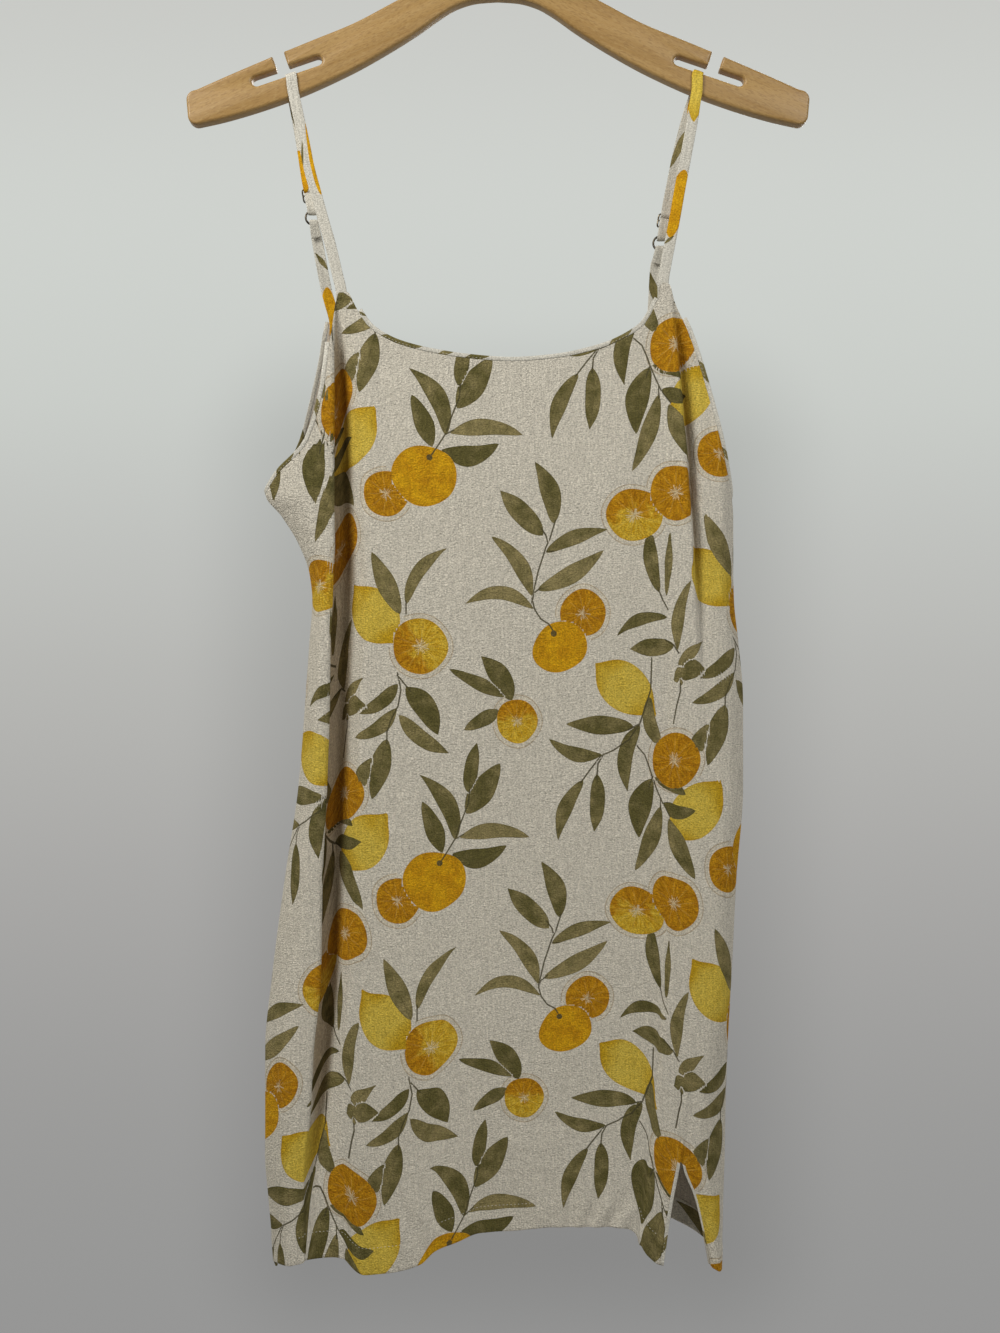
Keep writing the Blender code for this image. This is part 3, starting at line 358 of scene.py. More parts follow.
# Leaves: foot right and down, tip right and down, half width, bow, shade.
LEAVES = (
    (-124.0, 37.0, -99.0, 30.0, 9.0, 5.0, 0.45), (-46.6, 136.0, -60.5, 98.1, 7.9, -0.7, 0.2),
    (-36.4, 127.4, -62.1, 78.8, 7.9, -7.9, 0.35), (-25.7, 93.8, -19.1, 55.9, 6.4, 1.4, 0.3),
    (-28.1, 108.1, -2.5, 70.9, 10.4, 0.0, 0.35),
    (-33.5, 126.0, 18.4, 127.4, 7.1, 5.0, 0.7), (-40.3, 138.8, 1.2, 133.8, 8.9, -6.4, 0.1),
    (39.6, 191.0, 26.6, 146.7, 8.2, -4.3, 0.4), (31.5, 199.6, 1.2, 167.4, 8.9, 0.0, 0.45),
    (33.5, 211.8, 78.3, 195.3, 6.1, 2.9, 0.5), (27.3, 238.9, 75.3, 210.3, 7.5, -2.9, 0.75),
    (22.9, 243.2, -5.9, 200.3, 6.8, -5.7, 0.65), (24.2, 252.5, -25.7, 249.0, 6.1, -10.0, 0.75),
    (-73.0, 256.1, -92.6, 211.1, 8.2, 0.0, 0.6), (-68.5, 249.0, -37.8, 208.9, 5.7, 6.4, 0.6),
    (-76.0, 306.2, -105.2, 327.6, 6.1, 2.9, 0.3), (-77.2, 323.3, -110.2, 344.8, 6.1, 4.3, 0.5),
    (-70.2, 308.3, -47.7, 342.6, 10.0, 3.6, 0.2), (-75.9, 328.3, -39.9, 355.5, 7.1, -3.6, 0.6),
    (-85.2, 345.5, -97.7, 388.7, 8.9, 0.0, 0.4), (-95.9, 358.4, -118.5, 394.0, 6.8, 0.0, 0.45),
    (7.1, 317.6, -14.9, 286.1, 8.9, -2.9, 0.25), (3.5, 315.5, -38.5, 295.4, 5.7, 0.0, 0.3),
    (-1.8, 324.8, -28.5, 339.0, 6.1, 0.0, 0.3), (96.2, 336.3, 46.4, 334.8, 7.9, 0.0, 0.4),
    (72.6, 356.9, 33.7, 345.5, 6.1, 5.0, 0.4), (100.6, 334.3, 91.5, 383.4, 6.8, -6.4, 0.3),
    (68.8, 370.5, 66.1, 415.5, 6.8, 1.4, 0.35), (58.4, 374.8, 39.3, 422.0, 6.4, -4.3, 0.4),
    (108.1, 313.5, 120.4, 351.2, 6.1, -5.7, 0.5), (109.3, 371.1, 99.5, 418.8, 9.7, -4.3, 0.2),
    (115.9, 391.0, 96.3, 445.5, 6.8, 2.1, 0.5), (111.5, 370.0, 137.3, 380.0, 6.1, 2.1, 0.3),
    (118.1, 387.6, 144.7, 391.3, 6.4, -3.6, 0.2), (123.2, 398.4, 144.0, 440.8, 7.9, -1.4, 0.45),
    (114.9, 238.9, 109.3, 190.6, 6.1, 2.9, 0.35), (120.7, 241.4, 123.6, 196.5, 3.2, 0.0, 0.55),
    (121.3, 256.0, 84.2, 271.8, 5.0, -5.0, 0.3), (126.4, 275.4, 93.6, 280.9, 7.5, 0.0, 0.4),
    (129.3, 278.8, 138.7, 230.0, 5.4, 4.3, 0.6), (132.2, 303.9, 150.4, 272.5, 5.4, 6.4, 0.7),
)
# Fruit: kind, middle right and down, half length, half width, turn in degrees.
FRUITS = (
    ("slice", -80.5, 169.6, 16.4, 16.4, 20), ("orange", -52.9, 156.7, 23.6, 21.8, -12),
    ("slice", 59.7, 255.4, 17.2, 16.4, 60), ("orange", 42.7, 279.7, 20.7, 17.5, 30),
    ("lemon", -92.6, 256.8, 22.2, 19.3, 128), ("mixed", -59.1, 279.0, 20.0, 20.0, 200),
    ("mixed", 10.5, 332.6, 15.7, 15.0, 90), ("lemon", 89.8, 308.2, 23.6, 18.2, -38),
    ("mixed", 97.8, 184.5, 18.6, 20.7, 100), ("slice", 128.0, 168.6, 18.6, 19.3, 10),
    ("slice", 128.5, 356.2, 18.6, 20.0, -30), ("lemon", 144.7, 392.0, 24.3, 18.6, 48),
)
STEMS = (
    ((-48.2, 143.1), (-43.1, 136.0), (-36.4, 126.0), (-33.3, 116.7), (-30.3, 109.5),
     (-26.5, 100.2), (-25.6, 92.4)),
    ((-36.4, 126.7), (-32.1, 124.5)),
    ((38.5, 269.0), (34.9, 263.3), (29.2, 259.7), (24.9, 253.2), (22.9, 245.4), (27.5, 226.1),
     (33.6, 208.2), (36.6, 201.8), (40.3, 190.3)),
    ((35.1, 205.3), (33.7, 199.6), (30.9, 195.3)),
    ((22.9, 246.8), (24.4, 241.1), (28.1, 238.2)),
    ((32.8, 211.1), (37.9, 211.1)),
    ((-68.6, 254.7), (-68.4, 247.5)),
    ((-75.8, 299.7), (-73.9, 310.4), (-76.4, 321.9), (-81.9, 331.9), (-85.1, 340.5),
     (-85.3, 347.6)),
    ((-75.8, 300.4), (-72.3, 304.7), (-68.7, 309.0)),
    ((109.6, 287.9), (108.8, 308.4), (105.1, 320.2), (100.6, 333.6), (92.5, 345.9),
     (81.4, 353.4), (71.8, 357.6), (63.6, 367.6), (57.6, 375.5)),
    ((100.6, 333.6), (93.3, 338.0)),
    ((73.3, 356.9), (69.6, 363.4), (68.7, 371.9)),
    ((99.8, 350.7), (104.2, 355.0), (107.8, 363.6), (110.0, 370.3), (113.7, 379.6),
     (117.4, 387.8), (123.2, 395.5)),
    ((110.0, 369.6), (107.8, 375.6)),
    ((115.9, 385.1), (115.9, 392.4)),
    ((114.9, 237.5), (117.8, 244.3), (121.4, 249.7)),
    ((121.3, 272.8), (126.4, 275.4), (129.3, 279.5)),
    ((132.2, 303.9), (132.2, 308.1), (130.0, 316.5), (127.8, 327.7)),
)
# Dark stars where a stem meets a fruit: right, down, radius.
CALYXES = ((-48.8, 143.6, 2.3), (38.3, 270.0, 2.3))
KINDS = {"orange": 0.0, "slice": 1.0, "mixed": 2.0, "lemon": 3.0}
COVERS = ("orange", "slice", "mixed")


def repeats_over(low, high):
    """Every shift of the repeat that can reach the box from low to high."""
    first, last = (low[0] - 200) / REPEAT_WIDTH, (high[0] + 200) / REPEAT_WIDTH
    shifts = [np.array([i * REPEAT_WIDTH, j * REPEAT_HEIGHT - i * REPEAT_DROP])
              for i in range(math.floor(first), math.ceil(last) + 1) for j in range(-6, 8)]
    return [shift for shift in shifts if low[1] - 420 < shift[1] < high[1] - 20]


def leaf_place(leaf, place):
    """Run from foot to tip, side step off the midrib and a leaf's half width there."""
    foot, tip = place(leaf[0:2]), place(leaf[2:4])
    half, bow = leaf[4], leaf[5]
    way = tip - foot
    length = float(np.hypot(*way))
    way = way / length
    left = np.array([way[1], -way[0]])

    def at(points):
        run = (points - foot) @ way / length
        inside = np.clip(run, 0.0, 1.0)
        step = (points - foot) @ left - bow * 4 * inside * (1 - inside)
        wide = half * inside ** 0.72 * (1 - inside) ** 0.9 / 0.386
        ripple = 0.25 * np.sin(11 * inside + foot[0])
        beyond = np.abs(run - inside) * length
        return run, step, wide + ripple * (wide > 1) - beyond

    return at, (foot + tip) / 2, length / 2 + half + abs(bow)


def fruit_place(fruit, place):
    """Place inside a fruit in its own half sizes, so that its outline is the unit circle."""
    kind, right, down, long_half, wide_half, turn = fruit
    middle = place((right, down))
    c, s = math.cos(math.radians(turn)), math.sin(math.radians(turn))

    def at(points):
        du, dv = (points - middle).T
        p = (du * c - dv * s) / long_half
        q = (du * s + dv * c) / wide_half
        way = np.arctan2(q, p)
        if kind == "lemon":
            off = np.abs(way)
            rim = 0.95 + 0.32 * np.exp(-off / 0.22) + 0.22 * np.exp((off - math.pi) / 0.22)
        else:
            rim = 1 + 0.018 * np.sin(3 * way + right) + 0.012 * np.sin(5 * way + down)
        return p / rim, q / rim

    return at, middle, max(long_half, wide_half)


def printed(spots, faces, chart=None):
    """Corner maps of the print: leaf, leaf tone, fruit, fruit tone and stem.

    Each face goes to the leaf, the fruit and the stem that its middle lies deepest in; where
    two leaves or a leaf and a fruit overlap, the leaf's half width is cut back. chart is
    (leaves, fruits, stems, calyxes, shifts), or the cloth's own repeat.
    """
    whole = (LEAVES, FRUITS, STEMS, CALYXES, repeats_over(spots.min(axis=0), spots.max(axis=0)))
    leaves, fruits, stems, calyxes, shifts = chart or whole
    corners = spots[faces.ravel()]
    middles = spots[faces].mean(axis=1)
    count, size = faces.shape
    leaf_map, leaf_tone, fruit_map, fruit_tone, stem_map = (
        np.full((count * size, 2), empty) for empty in ((-9.0, 0.0), 0.0, 3.0, (0.0, 2.0), (9.0, 0.0)))
    best_leaf, best_fruit, best_stem = (np.full(count, worst) for worst in (-8.0, 7.0, -1.7))
    owner = np.full(count, -1)

    def near(centre, reach):
        close = np.abs(middles - centre) < reach
        return np.nonzero(close[:, 0] & close[:, 1])[0]

    def corner_rows(chosen):
        return (chosen[:, None] * size + np.arange(size)).ravel()

    def placed(motifs, place_of, reach_out):
        """Every copy of the motifs with its number, place function and the faces near it."""
        for turn, shift in enumerate(shifts):
            for order, motif in enumerate(motifs):
                at, centre, reach = place_of(motif, lambda p: np.array(p) + shift)
                chosen = near(centre, reach_out(reach))
                if len(chosen):
                    yield turn * len(motifs) + order, order, motif, at, reach, chosen

    def room_in(at, points):
        _, step, room = at(points)
        return room - np.abs(step)

    for number, _, leaf, at, _, chosen in placed(leaves, leaf_place, lambda reach: reach + 4):
        room = room_in(at, middles[chosen])
        wins = room > best_leaf[chosen]
        best_leaf[chosen[wins]] = room[wins]
        owner[chosen[wins]] = number
        rows = corner_rows(chosen[wins])
        run, step, room = at(corners[rows])
        leaf_map[rows] = np.stack([room, run], axis=1)
        leaf_tone[rows] = np.stack([step, np.full(len(rows), leaf[6])], axis=1)
    for _, order, fruit, at, reach, chosen in placed(fruits, fruit_place, lambda reach: reach * 1.3 + 4):
        gap = (np.hypot(*at(middles[chosen])) - 1) * reach
        rank = np.where(gap < FRUIT_MARGIN, -100.0 - order, gap)
        wins = rank < best_fruit[chosen]
        best_fruit[chosen[wins]] = rank[wins]
        rows = corner_rows(chosen[wins])
        fruit_map[rows] = np.stack(at(corners[rows]), axis=1)
        fruit_tone[rows] = (KINDS[fruit[0]], reach * 0.1)
    half_room = np.abs(leaf_tone[:, 0])
    own_room = leaf_map[:, 0] - half_room
    for number, _, _, at, _, chosen in placed(leaves, leaf_place, lambda reach: reach + 4):
        rows = corner_rows(chosen[(owner[chosen] >= 0) & (owner[chosen] != number)])
        if len(rows):
            cut = half_room[rows] + own_room[rows] - room_in(at, corners[rows]) - PALE_BETWEEN_LEAVES
            leaf_map[rows, 0] = np.minimum(leaf_map[rows, 0], cut)
    covers = [fruit for fruit in fruits if fruit[0] in COVERS]
    for _, _, _, at, reach, chosen in placed(covers, fruit_place, lambda reach: reach + 2):
        rows = corner_rows(chosen)
        gap = (np.hypot(*at(corners[rows])) - 1) * reach
        leaf_map[rows, 0] = np.minimum(leaf_map[rows, 0], gap + half_room[rows])

    pieces = [(a, b, 0.55) for line in stems for a, b in zip(line, line[1:])]
    pieces += [((right, down), (right + 0.1, down), radius) for right, down, radius in calyxes]
    for shift in shifts:
        for a, b, half in pieces:
            a, b = np.array(a) + shift, np.array(b) + shift
            way = b - a
            chosen = near((a + b) / 2, np.hypot(*way) / 2 + 5)
            if not len(chosen):
                continue
            run = np.clip((middles[chosen] - a) @ way / (way @ way), 0, 1)
            room = half - np.hypot(*(middles[chosen] - a - run[:, None] * way).T)
            wins = room > best_stem[chosen]
            best_stem[chosen[wins]] = room[wins]
            rows = corner_rows(chosen[wins])
            off = corners[rows] - a
            aside = np.hypot(*off.T) if half > 1 else off @ np.array([way[1], -way[0]]) / np.hypot(*way)
            stem_map[rows] = np.stack([aside, np.full(len(rows), half)], axis=1)
    return {"leaf": leaf_map, "leaf_tone": leaf_tone, "fruit": fruit_map, "fruit_tone": fruit_tone,
            "stem": stem_map, "cloth": corners * 0.01}


# Shader groups of the cloth
# One group gives the weave's relief with its light and dark slubs, the other draws the print
# from the corner maps. A cloth material lays both together and paints shade, darker and
# warmer, into the folds' hollows.


class Value:
    """A number in a shader tree. Reckoning with it adds maths nodes."""

    def __init__(self, tree, socket):
        self.tree, self.socket = tree, socket

    def __add__(self, other):
        return maths(self.tree, "ADD", self, other)

    def __sub__(self, other):
        return maths(self.tree, "SUBTRACT", self, other)

    def __rsub__(self, other):
        return maths(self.tree, "SUBTRACT", other, self)

    def __mul__(self, other):
        return maths(self.tree, "MULTIPLY", self, other)

    def __gt__(self, other):
        return maths(self.tree, "GREATER_THAN", self, other)

    def __lt__(self, other):
        return maths(self.tree, "LESS_THAN", self, other)

    def __abs__(self):
        return maths(self.tree, "ABSOLUTE", self)


def plug(tree, node, inputs):
    """Sets inputs of a node to values, or links them to sockets."""
    for key, value in inputs.items():
        value = value.socket if isinstance(value, Value) else value
        if isinstance(value, bpy.types.NodeSocket):
            tree.links.new(value, node.inputs[key])
        else:
            node.inputs[key].default_value = value


def add_node(tree, kind, inputs=(), **settings):
    """A shader node with its settings and inputs."""
    node = tree.nodes.new(kind)
    for name, value in settings.items():
        setattr(node, name, value)
    plug(tree, node, dict(inputs))
    return node


def maths(tree, operation, *values):
    """The result of a maths node on numbers or sockets."""
    node = add_node(tree, "ShaderNodeMath", dict(enumerate(values)), operation=operation)
    return Value(tree, node.outputs[0])


def ramp(value, low, high, to_low=0.0, to_high=1.0):
    """A smooth step from low to high."""
    node = add_node(value.tree, "ShaderNodeMapRange", {0: value, 1: low, 2: high, 3: to_low, 4: to_high},
                    interpolation_type="SMOOTHSTEP")
    return Value(value.tree, node.outputs[0])


def blend(tree, share, first, second, mode="MIX"):
    """Two colours mixed by a share."""
    first, second = ((*colour, 1.0) if isinstance(colour, tuple) else colour for colour in (first, second))
    return add_node(tree, "ShaderNodeMix", {0: share, 6: first, 7: second},
                    data_type="RGBA", blend_type=mode).outputs[2]


def noise(tree, vector, scale, detail=2.0, stretch=None):
    """A soft random value over a vector, stretched by a factor for each axis."""
    if stretch:
        vector = add_node(tree, "ShaderNodeMapping", {0: vector, 3: stretch}).outputs[0]
    node = add_node(tree, "ShaderNodeTexNoise", {"Vector": vector, "Scale": scale, "Detail": detail})
    return Value(tree, node.outputs[0])


def split(tree, vector):
    """The three numbers of a vector."""
    return [Value(tree, socket) for socket in add_node(tree, "ShaderNodeSeparateXYZ", {0: vector}).outputs]


def join(tree, x, y, z, kind="XYZ"):
    """A vector, or with kind Color a colour, from three numbers."""
    return add_node(tree, "ShaderNodeCombine" + kind, {0: x, 1: y, 2: z}).outputs[0]


def object_place(tree):
    """A surface's own place in its object, in metres."""
    return add_node(tree, "ShaderNodeTexCoord").outputs["Object"]


def relief(tree, height, strength, distance):
    """The normals that a height gives."""
    node = add_node(tree, "ShaderNodeBump", {"Height": height, "Strength": strength, "Distance": distance})
    return node.outputs[0]


def new_group(name, sockets_in, sockets_out):
    """An empty shader group with its sockets, and its two end nodes."""
    group = bpy.data.node_groups.new(name, "ShaderNodeTree")
    for label, kind, value in sockets_in:
        socket = group.interface.new_socket(label, in_out="INPUT", socket_type=kind)
        if value is not None:
            socket.default_value = value
    for label, kind in sockets_out:
        group.interface.new_socket(label, in_out="OUTPUT", socket_type=kind)
    return group, group.nodes.new("NodeGroupInput"), group.nodes.new("NodeGroupOutput")


def new_material(name):
    """A material with its node tree and its surface shader."""
    material = bpy.data.materials.new(name)
    material.use_nodes = True
    return material, material.node_tree, material.node_tree.nodes["Principled BSDF"]


def make_weave():
    """Height and shade of a crinkled plain weave with slubs, over a place in decimetres."""
    group, source, end = new_group(
        "slub_weave", (("Place", "NodeSocketVector", None),),
        (("Height", "NodeSocketFloat"), ("Shade", "NodeSocketFloat")))
    weft, warp, crinkle, pucker, flecks, slubs = (
        noise(group, source.outputs["Place"], scale, detail, stretch) for scale, detail, stretch in (
            (60.0, 3.0, (0.5, 2.6, 1.0)), (60.0, 3.0, (2.6, 0.4, 1.0)), (78.0, 4.0, (1.15, 0.9, 1.0)),
            (24.0, 3.0, (1.5, 0.8, 1.0)), (96.0, 2.0, (0.8, 1.3, 1.0)), (24.0, 3.0, (2.4, 0.22, 1.0))))
    threads = weft * 0.5 + warp * 0.5
    shade = ramp(threads * 0.7 + crinkle * 0.3, 0.36, 0.64, 0.84, 1.08)
    shade = shade * ramp(flecks, 0.32, 0.64, 0.78, 1.18) * ramp(slubs, 0.36, 0.66, 0.92, 1.05)
    plug(group, end, {"Height": threads + (crinkle * 1.1 + pucker * 1.3), "Shade": shade})
    return group


def make_print():
    """Colour of the citrus and leaf print over a ground colour, from the corner maps."""
    group, source, end = new_group(
        "citrus_print", (("Ground", "NodeSocketColor", (0.6, 0.56, 0.46, 1.0)),),
        (("Colour", "NodeSocketColor"),))

    def corner_map(name):
        return split(group, add_node(group, "ShaderNodeUVMap", uv_map=name).outputs[0])[:2]

    place = add_node(group, "ShaderNodeUVMap", uv_map="cloth").outputs[0]
    wash = noise(group, place, 9.0, 3.0)
    grain = noise(group, place, 34.0, 3.0)
    patch = noise(group, place, 3.2, 2.0)
    colour = source.outputs["Ground"]

    # Fruit: p and q run from -1 to 1 across it, and size is a tenth of its half length.
    p, q = corner_map("fruit")
    kind, size = corner_map("fruit_tone")
    rho = maths(group, "SQRT", p * p + q * q)
    way = maths(group, "ARCTAN2", q, p)
    cut = (kind > 0.5) * (kind < 2.5)
    rind_gap = (rho - 1.0) * size
    line = 1.0 - ramp(abs(rind_gap - 0.33), 0.02, 0.06)
    halo = 1.0 - ramp(rind_gap, 0.2, 0.36)
    colour = blend(group, halo * cut * 0.25, colour, (0.66, 0.55, 0.36))
    colour = blend(group, line * cut * 0.55, colour, (0.36, 0.24, 0.10))

    tone = ramp(wash * 0.6 + grain * 0.4, 0.36, 0.64)
    orange = blend(group, tone, (0.53, 0.250, 0.003), (0.68, 0.365, 0.006))
    spoke = abs(maths(group, "SINE", way * 4.5))
    wall = (1.0 - ramp(spoke, 0.05, 0.3)) * ramp(rho, 0.95, 0.5)
    streak = noise(group, join(group, way * 3.0, rho, size), 2.6, 2.0)
    heart = ramp(ramp(streak, 0.35, 0.7, 0.04, 0.36) - rho, 0.0, 0.05)
    juice = ramp(streak, 0.35, 0.65)
    deep = blend(group, juice, (0.40, 0.17, 0.002), (0.56, 0.27, 0.006))
    pale = blend(group, juice, (0.55, 0.32, 0.012), (0.69, 0.46, 0.045))
    side = ramp(p + (wash - 0.5) * 2.4, -0.15, 0.35)
    flesh = blend(group, kind > 1.5, deep, blend(group, side, pale, deep))
    flesh = blend(group, wall * 0.18, flesh, (0.70, 0.50, 0.16))
    flesh = blend(group, heart * 0.75, flesh, (0.70, 0.60, 0.40))
    ends = ramp(abs(p) + (patch - 0.5) * 1.2, 0.35, 0.95)
    lemon = blend(group, ends, (0.68, 0.50, 0.075), (0.54, 0.33, 0.010))
    lemon = blend(group, tone * 0.3, lemon, (0.58, 0.38, 0.025))
    fruit = blend(group, kind > 0.5, orange, flesh)
    fruit = blend(group, kind > 2.5, fruit, lemon)
    fruit = blend(group, ramp(rho, 0.86, 0.99) * 0.22, fruit, (0.42, 0.20, 0.01))
    colour = blend(group, ramp(rind_gap, 0.015, -0.015), colour, fruit)

    # Leaf: its half width, the run from foot to tip, and the step off its midrib.
    half, run = corner_map("leaf")
    step, shade = corner_map("leaf_tone")
    room = half - abs(step)
    tone = ramp(shade + (wash - 0.5) * 1.7, 0.0, 1.0)
    leaf = blend(group, tone, (0.116, 0.099, 0.028), (0.30, 0.243, 0.102))
    leaf = blend(group, ramp(room, 0.9, 0.2) * 0.25, leaf, (0.07, 0.06, 0.018))
    midrib = 1.0 - ramp(abs(step), 0.15, 0.5)
    veins = ramp(maths(group, "SINE", (run * 30.0 - abs(step)) * 1.9), 0.8, 1.0)
    leaf = blend(group, midrib * 0.22 + veins * 0.14, leaf, (0.06, 0.05, 0.015))
    colour = blend(group, ramp(room, -0.12, 0.12), colour, leaf)

    aside, half = corner_map("stem")
    twig = ramp(half - abs(aside), -0.12, 0.1)
    colour = blend(group, twig * 0.92, colour, (0.085, 0.072, 0.030))
    plug(group, end, {"Colour": colour})
    return group


WEAVE = make_weave()
PRINT = make_print()


def printed_cloth(name, ground, faded=0.0, bump=0.35):
    """Matt crinkled cloth with the print, more or less faded into the ground colour, with painted shade in the
    folds' hollows.
    """
    material, tree, shader = new_material(name)
    place = add_node(tree, "ShaderNodeUVMap", uv_map="cloth").outputs[0]
    weave = add_node(tree, "ShaderNodeGroup", {"Place": place}, node_tree=WEAVE)
    design = add_node(tree, "ShaderNodeGroup", {"Ground": (*ground, 1.0)}, node_tree=PRINT)
    painted_fold_shade = add_node(tree, "ShaderNodeAttribute", attribute_name="painted_fold_shade").outputs["Fac"]
    shade = join(tree, *[weave.outputs["Shade"]] * 3, "Color")
    colour = blend(tree, faded, design.outputs["Colour"], ground)
    colour = blend(tree, 1.0, colour, shade, "MULTIPLY")
    # Painted shade: the cloth is darker and warmer where it lies deep in a fold.
    colour = blend(tree, painted_fold_shade, colour, (0.56, 0.47, 0.36), "MULTIPLY")
    plug(tree, shader, {"Base Color": colour, "Roughness": 0.92, "Specular IOR Level": 0.2,
                        "Normal": relief(tree, weave.outputs["Height"], bump, 0.0022)})
    return material


CLOTH_OUT = printed_cloth("printed_cloth_right_side", (0.675, 0.622, 0.515), bump=0.75)
# Wrong side: its print faded, and its ground darker and warmer than the right side's as painted shade for the
# inside of the dress.
CLOTH_IN = printed_cloth("printed_cloth_wrong_side", (0.56, 0.49, 0.40), faded=0.68)
CLOTH_TRIM = printed_cloth("bias_binding_cloth", (0.60, 0.57, 0.49), bump=0.25)

# Front panel
# A single thickness of the printed cloth with a hem turned up 20 mm inside and stitched,
# a slit with narrow finished edges, a deep fold on its left and a ridge on its right.

OUTER = 0.45
HEM_OUT = 0.85
STITCH_DIP = 0.35
PUCKER_HEIGHT, PUCKER_REACH = 0.22, 14.0
CLOTH_DROP = 650.0
PRINT_LEVEL, PRINT_FOOT = 380.0, 729.0
RIDGE_PLACE, RIDGE_REACH, RIDGE_PASSES = 10.5, 0.9, 7
# Depths in mm where the painted fold shade starts and where it is full.
PAINTED_SHADE_FROM, PAINTED_SHADE_FULL = 1.6, 9.0
GRAIN_MIDDLE = (137.3, 156.7)
LEFT_SLIP = 22.0


def ease(value, low, high):
    """A smooth step from low to high."""
    t = np.clip((value - low) / (high - low), 0.0, 1.0)
    return t * t * (3 - 2 * t)


def arc_across(lines_at, points, places):
    """Arc length of each point round the level section at its height, from where x is 0."""
    heights = np.linspace(-1036.0, -300.0, 140)
    xs, ys = lines_at(heights)
    x = np.array([between_lines(xs, place) for place in places])
    y = np.array([between_lines(ys, place) for place in places])
    steps = np.hypot(np.diff(x, axis=0), np.diff(y, axis=0))
    run = np.concatenate([np.zeros((1, len(heights))), np.cumsum(steps, axis=0)])
    quarter = len(places) // 4
    here = np.argmin(np.abs(x[quarter:-quarter]), axis=0) + quarter
    level = np.arange(len(heights))
    across = run - run[here, level] + x[here, level]
    return np.stack([np.interp(points[:, c, 2], heights, across[c]) for c in range(len(places))], axis=1)


def print_place_front(points, places):
    """Where each point of the front lies in the chart of the print, in millimetres."""
    across = arc_across(front_lines, points, places)
    x, drop = points[..., 0], -points[..., 2] - 300.0
    hems = -smooth_line(*zip(*FRONT_HEM), places)[None, :] - 300.0
    below = PRINT_LEVEL + (drop - PRINT_LEVEL) * (PRINT_FOOT - PRINT_LEVEL) / (hems - PRINT_LEVEL)
    drop = np.where(drop > PRINT_LEVEL, below, drop)
    stretch = 1 + 0.025 * ease(x, 87.0, 130.0)
    middle, level = GRAIN_MIDDLE
    down = level + (drop - level) / stretch
    right = middle + (across - middle) * (1 + 0.042 * (down - level) / REPEAT_HEIGHT)
    down = down - LEFT_SLIP * (1 - ease(places, 4.0, 5.6))[None, :] * ease(drop, 42.0, 120.0)
    return np.stack([right, down], axis=-1)


def painted_fold_shade_of(grid, away, reach=11):
    """From 0 to 1, how far a point lies behind the mean of those reach columns beside it; the strength of the
    painted fold shade.
    """
    column = np.arange(grid.shape[1])
    left, right = np.maximum(column - reach, 0), np.minimum(column + reach, column[-1])
    deep = ((grid[:, left, 1] + grid[:, right, 1]) / 2 - grid[..., 1]) * away
    return ease(deep, PAINTED_SHADE_FROM, PAINTED_SHADE_FULL) * ease(np.minimum(column, column[::-1]), 6, 20)[None, :]


